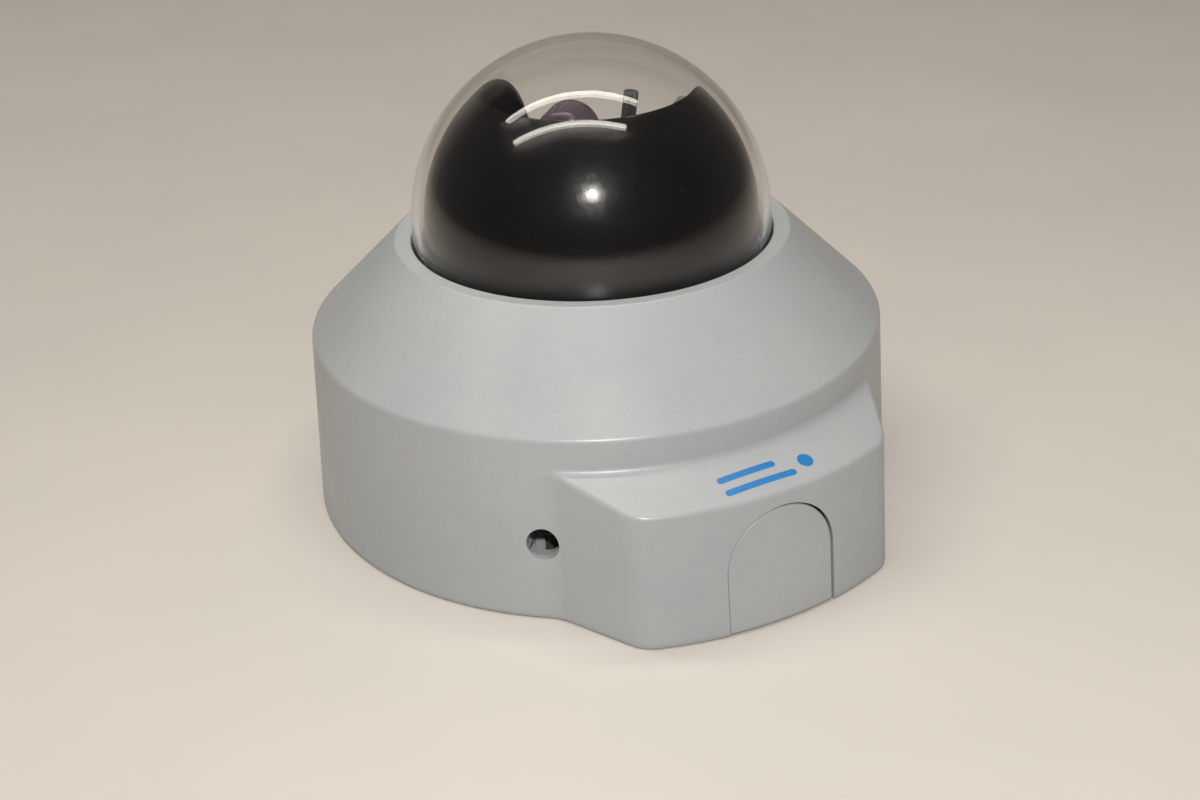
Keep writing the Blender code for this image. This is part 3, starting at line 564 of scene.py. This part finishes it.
def round_union(a, b, radius):
    """Union of two distances with a fillet between them."""
    return (np.maximum(np.minimum(a, b), radius)
            - np.hypot(np.maximum(radius - a, 0.0), np.maximum(radius - b, 0.0)))


def line_distance(r, z, start, end):
    """Distance to the right of a line from start to end in the (r, z) plane."""
    step = Vector(end) - Vector(start)
    length = step.length
    return ((r - start[0]) * step.y - (z - start[1]) * step.x) / length


def cover_distance(x, y, z):
    r = np.hypot(x, y)
    skirt = line_distance(r, z, (SKIRT_R, 0.0), (SKIRT_TOP_R, SKIRT_TOP_Z))
    cone = line_distance(r, z, (SKIRT_TOP_R, SKIRT_TOP_Z), (COLLAR_R, COLLAR_Z))
    collar = line_distance(r, z, (COLLAR_R, COLLAR_Z), (COLLAR_HOLE_R, COLLAR_Z - 0.5))
    body = round_common(round_common(skirt, cone, SKIRT_EDGE_R), collar, COLLAR_EDGE_R)
    out_x, out_y = math.cos(SNOUT_SIDE_ANGLE), math.sin(SNOUT_SIDE_ANGLE)
    side = ((np.abs(x) - SNOUT_SIDE_POINT[0]) * out_x + (-y - SNOUT_SIDE_POINT[1]) * out_y
            + SNOUT_SIDE_DRAFT * z)
    front = r - SNOUT_FRONT_R + SNOUT_FRONT_DRAFT * z
    roof_scale = math.hypot(1.0, SNOUT_ROOF_SLOPE)
    roof = (z - SNOUT_ROOF_Z + (r - SNOUT_ROOF_R) * SNOUT_ROOF_SLOPE) / roof_scale
    snout = round_common(round_common(side, front, SNOUT_CORNER_R), roof, SNOUT_EDGE_R)
    snout = np.maximum(snout, y - SNOUT_BACK_Y)
    return round_union(body, snout, SNOUT_FILLET_R)


def ray_surface(turns, rises, inset):
    """Points where rays from the middle of the mounting face leave the cover, moved in by inset."""
    turn, rise = np.meshgrid(turns, rises)
    dx, dy, dz = np.cos(rise) * np.cos(turn), np.cos(rise) * np.sin(turn), np.sin(rise)
    near = np.full(turn.shape, 40.0)
    far = np.full(turn.shape, 180.0)
    for _ in range(24):
        middle = (near + far) / 2.0
        outside = cover_distance(dx * middle, dy * middle, BOTTOM_Z + dz * middle) > -inset
        far = np.where(outside, middle, far)
        near = np.where(outside, near, middle)
    return np.stack([dx * near, dy * near, BOTTOM_Z + dz * near], axis=-1)


def ring_at(turns, radius, height):
    return np.stack([radius * np.cos(turns), radius * np.sin(turns), np.full(turns.shape, height)],
                    axis=-1)[None]


def shell_from_rows(name, rows):
    """Closed shell from rows of points that run up the outside and back down the inside."""
    count_rows, count_turns = rows.shape[:2]
    index = np.arange(count_rows * count_turns).reshape(count_rows, count_turns)
    below = np.roll(index, -1, axis=0)
    faces = np.stack([index, np.roll(index, -1, axis=1), np.roll(below, -1, axis=1), below], axis=-1)
    mesh = bpy.data.meshes.new(name)
    mesh.from_pydata((rows.reshape(-1, 3) * MM).tolist(), [], faces.reshape(-1, 4).tolist())
    mesh.update()
    piece = bpy.data.objects.new(name, mesh)
    bpy.context.scene.collection.objects.link(piece)
    return piece


def open_slot(name, half, low, high, matrix):
    outline = [(half, 13.0)] + arc(half, 0.0, -math.pi, 24) + [(-half, 13.0)]
    return prism(name, outline, low, high, matrix)


def build_cover():
    turns = np.linspace(0.0, 2.0 * math.pi, 720, endpoint=False)
    top_rise = math.degrees(math.atan2(COLLAR_Z - 0.5 - BOTTOM_Z, COLLAR_HOLE_R + 0.6))
    parts = ((0.3, 20.0, 26), (20.0, 34.5, 90), (34.5, 53.0, 34), (53.0, top_rise, 20))
    rises = np.concatenate([np.linspace(a, b, n, endpoint=False) for a, b, n in parts] + [[top_rise]])
    outside = ray_surface(turns, np.radians(rises), 0.0)
    inner_top = math.degrees(math.atan2(COLLAR_Z - 3.1 - BOTTOM_Z, COLLAR_HOLE_R + 0.3))
    inner_rises = np.concatenate([np.linspace(0.0, 34.0, 70), np.linspace(34.5, inner_top, 24)])
    inside = ray_surface(turns, np.radians(inner_rises), WALL)[::-1]
    foot = ray_surface(turns, np.radians([0.0]), 0.35)
    lip = np.concatenate([ring_at(turns, COLLAR_HOLE_R + 0.6 * (1 - math.sin(a)),
                                  COLLAR_Z - 1.1 + 0.6 * math.cos(a))
                          for a in np.radians([22.0, 45.0, 68.0, 90.0])])
    cover = shell_from_rows("housing_cover_fine", np.concatenate([foot, outside, lip, inside]))
    cover.data.flip_normals()
    for number, angle in enumerate(COVER_SCREW_ANGLES):
        place = radial(angle, TOOL_HOLE_Z)
        combine(cover, block(f"tab_{number}", (-8.5, -9.0, 87.5), (8.5, 11.0, 101.2), place), "UNION")
        combine(cover, open_slot(f"pocket_{number}", TOOL_HOLE_R + 0.3, 90.0, 98.6, place))
        combine(cover, open_slot(f"slot_{number}", 2.6, 84.0, 92.0, place))
        hole = [(0.0, 96.0), (TOOL_HOLE_R, 96.0), (TOOL_HOLE_R, 115.0), (0.0, 115.0)]
        combine(cover, turned(f"hole_{number}", hole, place, 0.0, 64))
    for number, angle in enumerate(RING_SCREW_ANGLES):
        place = upright(angle, RING_SCREW_R)
        boss = [(0.0, 88.5), (2.6, 88.5), (2.6, 92.4), (0.0, 92.4)]
        combine(cover, turned(f"boss_{number}", boss, place, 0.0, 24), "UNION")
        combine(cover, turned(f"tap_{number}", [(0.0, 87.0), (1.4, 87.0), (1.4, 91.6), (0.0, 91.6)],
                              place, 0.0, 24))
    arch = [(ARCH_HALF, -3.0)] + arc(ARCH_HALF, 0.0, math.pi, 64, (0.0, ARCH_CENTRE_Z))
    arch += [(-ARCH_HALF, -3.0)]
    combine(cover, prism("arch", arch, 114.0, 140.0, Matrix.Rotation(math.radians(90.0), 4, "X")))
    cover.data.shade_smooth()
    cover.data.set_sharp_from_angle(angle=math.radians(38.0))
    install(cover, "cover", "housing_cover")


def build_plate():
    """Curved knock-out plate with rolled edges, on an arch-shaped grid."""
    half = ARCH_HALF - 0.6
    bottom = PLATE_LOW.z
    heights = np.concatenate([np.linspace(bottom, ARCH_CENTRE_Z, 30, endpoint=False),
                              ARCH_CENTRE_Z + half * np.sin(np.linspace(0.0, math.pi / 2 - 0.04, 40))])
    across = np.sin(np.linspace(-math.pi / 2, math.pi / 2, 61))
    z = heights[:, None] + 0.0 * across[None]
    width = np.where(heights < ARCH_CENTRE_Z, half,
                     np.sqrt(np.maximum(half ** 2 - (heights - ARCH_CENTRE_Z) ** 2, 0.0)))
    x = width[:, None] * across[None]
    radius_from = np.hypot(x, np.maximum(z - ARCH_CENTRE_Z, 0.0))
    edge = np.minimum(half - radius_from, z - bottom)
    roll = 0.5 - np.sqrt(np.maximum(0.25 - (0.5 - np.clip(edge, 0.0, 0.5)) ** 2, 0.0))
    front = SNOUT_FRONT_R - SNOUT_FRONT_DRAFT * z - 0.1 - roll
    back = SNOUT_FRONT_R - SNOUT_FRONT_DRAFT * z - 2.6
    bm = bmesh.new()
    grids = []
    for radius in (front, back):
        y = -np.sqrt(radius ** 2 - x ** 2)
        grids.append([[bm.verts.new(((x[i, j] - PLATE_SHIFT) * MM, y[i, j] * MM, z[i, j] * MM))
                       for j in range(x.shape[1])] for i in range(x.shape[0])])
    rows, columns = x.shape
    for grid in grids:
        for i in range(rows - 1):
            for j in range(columns - 1):
                bm.faces.new((grid[i][j], grid[i][j + 1], grid[i + 1][j + 1], grid[i + 1][j]))
    border = [(0, j) for j in range(columns)] + [(i, columns - 1) for i in range(1, rows)]
    border += [(rows - 1, j) for j in range(columns - 2, -1, -1)] + [(i, 0) for i in range(rows - 2, 0, -1)]
    for (a, b), (c, d) in zip(border, border[1:] + border[:1]):
        bm.faces.new((grids[0][a][b], grids[0][c][d], grids[1][c][d], grids[1][a][b]))
    install(piece_from("conduit_plate_fine", bm, 50.0), "knockout", "conduit_plate")


# ---------- bubble, liner and their fixings ----------

def dome_points(radius, steps):
    rise = [math.pi / 2.0 * i / steps for i in range(steps)]
    return [(radius * math.cos(a), SPHERE_Z + radius * math.sin(a)) for a in rise]


def build_bubble():
    inner_r = BUBBLE_R - BUBBLE_WALL
    foot = BUBBLE_LOW.z
    flange = BUBBLE_HIGH.x
    profile = soften([(inner_r, foot), (flange, foot), (flange, foot + 2.5), (BUBBLE_R, foot + 2.5),
                      (BUBBLE_R, SPHERE_Z - 1.0)], 0.3)[:-4]
    profile += dome_points(BUBBLE_R, 72) + [(0.0, SPHERE_Z + BUBBLE_R), (0.0, SPHERE_Z + inner_r)]
    profile += list(reversed(dome_points(inner_r, 72)))
    bm = bmesh.new()
    lathe(bm, profile, 192, scaled(Matrix.Identity(4)))
    install(piece_from("dome_bubble_fine", bm, 40.0), "cover", "dome_bubble")


def build_liner():
    inner_r = LINER_R - LINER_WALL
    foot = LINER_LOW.z
    waist = SPHERE_Z - 12.0
    profile = [(inner_r, foot), (LINER_R, foot), (LINER_R, waist)] + dome_points(LINER_R, 60)
    profile += [(0.0, SPHERE_Z + LINER_R), (0.0, SPHERE_Z + inner_r)]
    profile += list(reversed(dome_points(inner_r, 60))) + [(inner_r, waist)]
    bm = bmesh.new()
    lathe(bm, profile, 160, scaled(PAN_FRAME))
    liner = piece_from("inner_liner_fine", bm)
    slot = [(SLOT_HALF, 80.0)] + arc(SLOT_HALF, 0.0, -math.pi, 96) + [(-SLOT_HALF, 80.0)]
    combine(liner, prism("slot", slot, SLOT_BOTTOM_Z, 180.0, PAN_FRAME))
    for number, angle in enumerate(LINER_SCREW_ANGLES):
        hole = [(0.0, 53.0), (1.3, 53.0), (1.3, 62.0), (0.0, 62.0)]
        place = PAN_FRAME @ radial(angle, LINER_SCREW_Z)
        combine(liner, turned(f"liner_hole_{number}", hole, place, 0.0, 24))
    bevelled(liner, 0.32, 50.0, 3)
    install(liner, "pan", "inner_liner")


def build_fixings():
    low, high = box_mm("bubble_gasket")
    install(turned("bubble_gasket_fine", [(64.6, low.z), (67.0, low.z), (67.0, high.z), (64.6, high.z)],
                   Matrix.Identity(4), 0.4, 144), "cover", "bubble_gasket")
    low, high = box_mm("base_seal")
    rim = high.x
    install(turned("base_seal_fine", [(98.3, low.z), (rim, low.z), (rim, high.z), (98.3, high.z)],
                   Matrix.Identity(4), 0.9, 144), "base", "base_seal")


def cross_slot(piece, matrix, reach, width, low, high):
    """Cut a cross recess into a screw head."""
    for number, (half_x, half_y) in enumerate(((reach, width), (width, reach))):
        combine(piece, block(f"recess_{number}", (-half_x, -half_y, low), (half_x, half_y, high), matrix))
    return piece


def build_screws():
    dark_screw = moulded("blackened_screw", (0.03, 0.03, 0.032), 0.42, 0.3, 1500.0, 0.00003, 0.1)
    for number, angle in enumerate(COVER_SCREW_ANGLES, 1):
        place = radial(angle, TOOL_HOLE_Z)
        head = [(0.0, 79.2), (2.0, 79.2), (2.0, 90.4), (4.6, 90.4), (4.6, 92.6), (3.4, 94.4), (0.0, 94.4)]
        screw = turned(f"cover_screw_{number}_fine", head, place, 0.35, 48)
        hexagon = [(1.9 * math.cos(a), 1.9 * math.sin(a)) for a in np.linspace(0.0, 2 * math.pi, 7)[:6]]
        combine(screw, prism("socket", hexagon, 92.2, 96.0, place))
        install(bevelled(screw, 0.1, 50.0, 1), "base", f"cover_screw_{number}")
        screw.data.materials[0] = dark_screw
    for number, angle in enumerate(RING_SCREW_ANGLES, 1):
        place = upright(angle, RING_SCREW_R)
        head = [(0.0, 83.6), (2.2, 83.6), (2.2, 85.2), (1.1, 85.2), (1.1, 91.2), (0.0, 91.2)]
        screw = turned(f"ring_screw_{number}_fine", head, place, 0.3, 32)
        install(cross_slot(screw, place, 1.3, 0.3, 83.0, 84.4), "cover", f"ring_screw_{number}")
    for number, angle in enumerate(LINER_SCREW_ANGLES, 1):
        place = PAN_FRAME @ radial(angle, LINER_SCREW_Z)
        head = [(0.0, 55.2), (1.0, 55.2), (1.0, 59.3), (2.0, 59.3), (1.6, 60.2), (0.0, 60.2)]
        screw = turned(f"liner_screw_{number}_fine", head, place, 0.25, 32)
        install(cross_slot(screw, place, 1.1, 0.25, 59.7, 61.0), "pan", f"liner_screw_{number}")


# ---------- thumb screws and ribbed rings ----------

def toothed(bm, radius, depth, teeth, low, high, matrix, chamfer=0.5):
    """Solid knurled drum: rounded teeth round it, chamfered at both ends."""
    count = teeth * 6
    place = scaled(matrix)
    rings = []
    for z, shrink in ((low, chamfer), (low + chamfer, 0.0), (high - chamfer, 0.0), (high, chamfer)):
        ring = []
        for i in range(count):
            a = 2.0 * math.pi * i / count
            wave = 0.5 + 0.5 * math.cos(teeth * a)
            r = radius - shrink - depth * (1.0 - wave ** 0.6)
            ring.append(bm.verts.new(place @ Vector((r * math.cos(a), r * math.sin(a), z))))
        rings.append(ring)
    bm.faces.new(rings[0])
    bm.faces.new(rings[-1])
    for ring, following in zip(rings, rings[1:]):
        for i in range(count):
            j = (i + 1) % count
            bm.faces.new((ring[i], ring[j], following[j], following[i]))


def thumb_screw(name, radius, low, high, tip, shank, matrix, body, node, teeth=16):
    bm = bmesh.new()
    toothed(bm, radius, radius * 0.16, teeth, low, high, matrix, min(0.6, radius * 0.12))
    screw = piece_from(name, bm, 50.0)
    rod = [(0.0, tip), (shank, tip), (shank, low + 1.0), (0.0, low + 1.0)]
    combine(screw, turned("shank", rod, matrix, 0.2, 32), "UNION")
    screw.data.shade_smooth()
    screw.data.set_sharp_from_angle(angle=math.radians(45.0))
    install(screw, body, node)


def ribbed_ring(name, low, high, turn, body, node):
    """Lens ring with fine ribs between two plain shoulders and a tapped hole for its lock screw."""
    bm = bmesh.new()
    inner, outer, ribs = CORE_R + 0.3, LENS_RING_R, 48
    count = ribs * 6
    place = scaled(LENS_FRAME)
    levels = ((low, inner, 0.0), (low, outer - 1.0, 0.0), (low + 0.5, outer - 0.5, 0.0),
              (low + 1.1, outer - 0.5, 0.0), (low + 1.3, outer, 1.0), (high - 1.3, outer, 1.0),
              (high - 1.1, outer - 0.5, 0.0), (high - 0.5, outer - 0.5, 0.0), (high, outer - 1.0, 0.0),
              (high, inner, 0.0))
    rings = []
    for z, radius, depth in levels:
        ring = []
        for i in range(count):
            a = 2.0 * math.pi * i / count
            r = radius - 0.55 * depth * (0.5 - 0.5 * math.cos(ribs * a)) ** 2
            ring.append(bm.verts.new(place @ Vector((r * math.cos(a), r * math.sin(a), z))))
        rings.append(ring)
    for ring, following in zip(rings, rings[1:] + rings[:1]):
        for i in range(count):
            j = (i + 1) % count
            bm.faces.new((ring[i], ring[j], following[j], following[i]))
    ring = piece_from(name, bm, 50.0)
    place = lock_frame((low + high) / 2.0, turn)
    hole = [(0.0, CORE_R - 1.0), (1.3, CORE_R - 1.0), (1.3, 20.0), (0.0, 20.0)]
    combine(ring, turned("tapping", hole, place, 0.0, 24))
    install(ring, body, node)


def lock_frame(height, turn):
    return (LENS_FRAME @ Matrix.Translation((0.0, 0.0, height))
            @ Matrix.Rotation(math.radians(turn), 4, "Z") @ Matrix.Rotation(math.radians(-90.0), 4, "X"))


# ---------- gimbal, camera and lens ----------

def build_gimbal():
    refine("yoke_arm_left", "pan", 0.4)
    refine("yoke_arm_right", "pan", 0.4)
    thumb_screw("pan_lock_screw_fine", 6.0, 65.6, 71.6, 57.8, 1.9,
                PAN_FRAME @ Matrix.Translation((0.0, -PAN_SCREW_R, 0.0)), "pan", "pan_lock_screw", 20)
    cradle = turned("tilt_cradle_fine", [(CAN_R + 0.3, -7.0), (CAN_R + 4.0, -7.0), (CAN_R + 4.0, 7.0),
                                         (CAN_R + 0.3, 7.0)],
                    TILT_FRAME @ Matrix.Rotation(math.radians(-90.0), 4, "X"), 0.6)
    for side in (-1.0, 1.0):
        place = TILT_FRAME @ Matrix.Rotation(math.radians(side * 90.0), 4, "Y")
        boss = [(0.0, CAN_R + 2.0), (6.0, CAN_R + 2.0), (6.0, ARM_X - 0.3), (0.0, ARM_X - 0.3)]
        combine(cradle, turned("boss", boss, place, 0.4, 48), "UNION")
        bore = [(0.0, CAN_R + 4.5), (3.1, CAN_R + 4.5), (3.1, ARM_X + 2.0), (0.0, ARM_X + 2.0)]
        combine(cradle, turned("bore", bore, place, 0.0, 48))
        name = "tilt_knob_right" if side > 0 else "tilt_knob_left"
        low = ARM_X + ARM_THICK + 0.3
        thumb_screw(name + "_fine", 8.0, low, low + 6.5, CAN_R + 5.0, 2.8, place, "tilt", name, 24)
    cradle.data.set_sharp_from_angle(angle=math.radians(35.0))
    install(cradle, "tilt", "tilt_cradle")


def build_camera_body():
    r = CAN_R
    can = [(r - 2.0, -26.0), (r, -26.0), (r, -22.0), (r - 0.3, -21.7), (r - 0.3, -21.0), (r, -20.7)]
    can += [(r, 7.5), (r - 1.5, 9.0), (12.6, 9.0), (12.6, 6.5), (r - 2.0, 6.5)]
    install(turned("camera_housing_fine", can, LENS_FRAME, 0.3), "camera", "camera_housing")
    cap = [(5.0, -28.6), (r - 1.5, -28.6), (r, -27.4), (r, -26.3), (r - 2.3, -26.3), (r - 2.3, -23.5)]
    cap += [(r - 4.3, -23.5), (r - 4.3, -26.3), (5.0, -26.3)]
    install(turned("camera_rear_cap_fine", cap, LENS_FRAME, 0.3), "camera", "camera_rear_cap")
    ring = [(9.5, 0.0), (12.2, 0.0), (12.2, 12.0), (9.5, 12.0)]
    install(turned("lens_mount_ring_fine", ring, LENS_FRAME, 0.3), "camera", "lens_mount_ring")


def build_lens():
    barrel = [(9.2, 12.3), (BARREL_R, 12.3), (BARREL_R, 16.6), (BARREL_R - 0.4, 17.0)]
    barrel += [(BARREL_R - 0.4, 17.6), (BARREL_R, 18.0), (BARREL_R, 21.7), (CORE_R, 21.7), (CORE_R, 29.3)]
    barrel += [(BARREL_R, 29.3), (BARREL_R, 35.7), (CORE_R, 35.7), (CORE_R, 45.4), (9.2, 45.4)]
    install(turned("lens_barrel_fine", barrel, LENS_FRAME, 0.3), "camera", "lens_barrel")
    ribbed_ring("zoom_ring_fine", *ZOOM_RING_Z, ZOOM_LOCK_ANGLE, "zoom", "zoom_ring")
    ribbed_ring("focus_ring_fine", *FOCUS_RING_Z, FOCUS_LOCK_ANGLE, "focus", "focus_ring")
    thumb_screw("zoom_lock_screw_fine", LENS_KNOB_R, 18.0, 27.0, CORE_R + 0.9, 1.0,
                lock_frame(sum(ZOOM_RING_Z) / 2.0, ZOOM_LOCK_ANGLE), "zoom", "zoom_lock_screw", 14)
    thumb_screw("focus_lock_screw_fine", LENS_KNOB_R, 20.5, 32.5, CORE_R + 0.9, 1.0,
                lock_frame(sum(FOCUS_RING_Z) / 2.0, FOCUS_LOCK_ANGLE), "focus", "focus_lock_screw", 14)
    bezel = [(10.9, 45.8), (11.4, 45.8), (11.4, 46.0), (BARREL_R, 46.0), (BARREL_R, 50.0), (12.8, 50.0)]
    bezel += [(12.2, 49.4), (12.2, 49.0), (11.6, 48.7), (11.6, 48.3), (10.9, 48.0)]
    install(turned("lens_bezel_fine", bezel, LENS_FRAME, 0.25), "focus", "lens_bezel")
    dome = [(10.6 * i / 24.0, 49.4 - 1.9 * (i / 24.0) ** 2) for i in range(24, 0, -1)]
    glass = [(0.0, 46.2), (10.6, 46.2)] + dome + [(0.0, 49.4)]
    bm = bmesh.new()
    lathe(bm, glass, 96, scaled(LENS_FRAME))
    install(piece_from("front_lens_fine", bm), "focus", "front_lens")


def build_iris():
    """Iris housing: a drum with a domed cap and a ribbed skirt, on a neck beside the barrel."""
    centre = Vector((math.sin(IRIS_ANGLE), math.cos(IRIS_ANGLE), 0.0)) * IRIS_OFFSET
    place = LENS_FRAME @ Matrix.Translation(centre)
    drum = [(0.0, IRIS_LOW)] + arc(3.0, -math.pi / 2, 0.0, 8, (IRIS_R - 3.0, IRIS_LOW + 3.0))
    drum += [(IRIS_R, 24.0), (IRIS_R - 0.4, 24.3), (IRIS_R - 0.4, 24.9), (IRIS_R, 25.2), (IRIS_R, 28.0)]
    drum += [(IRIS_R - 2.0, IRIS_HIGH), (0.0, IRIS_HIGH)]
    iris = turned("iris_motor_fine", drum, place, 0.25, 96)
    neck = block("neck", (-7.0, BARREL_R - 3.0, IRIS_LOW + 0.4), (7.0, IRIS_OFFSET - 5.0, 20.5),
                 LENS_FRAME @ Matrix.Rotation(-IRIS_ANGLE, 4, "Z"))
    combine(iris, bevelled(neck, 0.8, 40.0, 3), "UNION")
    clear = [(0.0, 10.0), (BARREL_R + 0.3, 10.0), (BARREL_R + 0.3, 33.0), (0.0, 33.0)]
    combine(iris, turned("clearance", clear, LENS_FRAME, 0.0, 96))
    relief = [(0.0, 21.0), (LENS_RING_R + 0.6, 21.0), (LENS_RING_R + 0.6, 33.0), (0.0, 33.0)]
    combine(iris, turned("relief", relief, LENS_FRAME, 0.0, 96))
    for number in range(9):
        turn = Matrix.Rotation(math.radians(-70.0 + number * 17.5) - IRIS_ANGLE, 4, "Z")
        low, high = (-0.35, IRIS_R - 0.6, IRIS_LOW + 4.0), (0.35, IRIS_R + 0.25, 23.0)
        rib = block(f"rib_{number}", low, high, place @ turn)
        combine(iris, rib, "UNION")
    iris.data.shade_smooth()
    iris.data.set_sharp_from_angle(angle=math.radians(38.0))
    install(iris, "camera", "iris_motor")


# ---------- CAD nodes kept in shape, with eased edges ----------

def refine(node, body, width):
    """Copy a CAD node, join its flat facets, ease its edges and let the copy stand for it."""
    source = frame["nodes"][node]
    piece = bpy.data.objects.new(node + "_fine", source.data.copy())
    bpy.context.scene.collection.objects.link(piece)
    bm = bmesh.new()
    bm.from_mesh(piece.data)
    bmesh.ops.remove_doubles(bm, verts=bm.verts, dist=0.000002)
    bmesh.ops.dissolve_limit(bm, angle_limit=math.radians(0.5), verts=bm.verts, edges=bm.edges)
    bmesh.ops.recalc_face_normals(bm, faces=bm.faces)
    bm.to_mesh(piece.data)
    bm.free()
    piece.data.shade_smooth()
    bevelled(piece, width, 40.0)
    piece.data.set_sharp_from_angle(angle=math.radians(38.0))
    install(piece, body, node)


def carry_over():
    """The other CAD nodes keep their shape and get their finish."""
    for node, thing in frame["nodes"].items():
        if thing.hide_render:
            continue
        thing.data.materials.clear()
        thing.data.materials.append(MATERIALS[SLOT_OF[node]])
        thing.data.shade_smooth()
        thing.data.set_sharp_from_angle(angle=math.radians(32.0))


# ---------- floor ----------

def build_floor():
    """Pale table that curves up into a wall behind."""
    bm = bmesh.new()
    reach, bend, radius = 3.0, 1.5, 0.5
    away = Vector((math.sin(math.radians(27.4)), math.cos(math.radians(27.4)), 0.0))
    side = Vector((away.y, -away.x, 0.0))
    path = [(-reach, 0.0), (bend, 0.0)]
    path += [(bend + radius * math.sin(a), radius * (1.0 - math.cos(a)))
             for a in np.linspace(0.0, math.pi / 2.0, 24)[1:]]
    path += [(bend + radius, 3.0)]
    rows = [[bm.verts.new(away * u + side * s * reach + Vector((0.0, 0.0, h))) for s in (-1.0, 1.0)]
            for u, h in path]
    for row, following in zip(rows, rows[1:]):
        bm.faces.new((row[0], row[1], following[1], following[0]))
    floor = piece_from("floor", bm, 60.0)
    n = Nodes("floor_surface")
    tone = n.blend(n.ramp(n.noise(6.0, 4.0), 0.3, 0.7), (0.575, 0.545, 0.515), (0.61, 0.58, 0.545))
    n.link(tone, n.shader.inputs["Base Color"])
    n.shader.inputs["Roughness"].default_value = 0.6
    floor.data.materials.append(n.material)


add_camera()
add_lights()
build_floor()
build_cover()
build_plate()
build_bubble()
build_liner()
build_fixings()
build_screws()
build_gimbal()
build_camera_body()
build_lens()
build_iris()
carry_over()
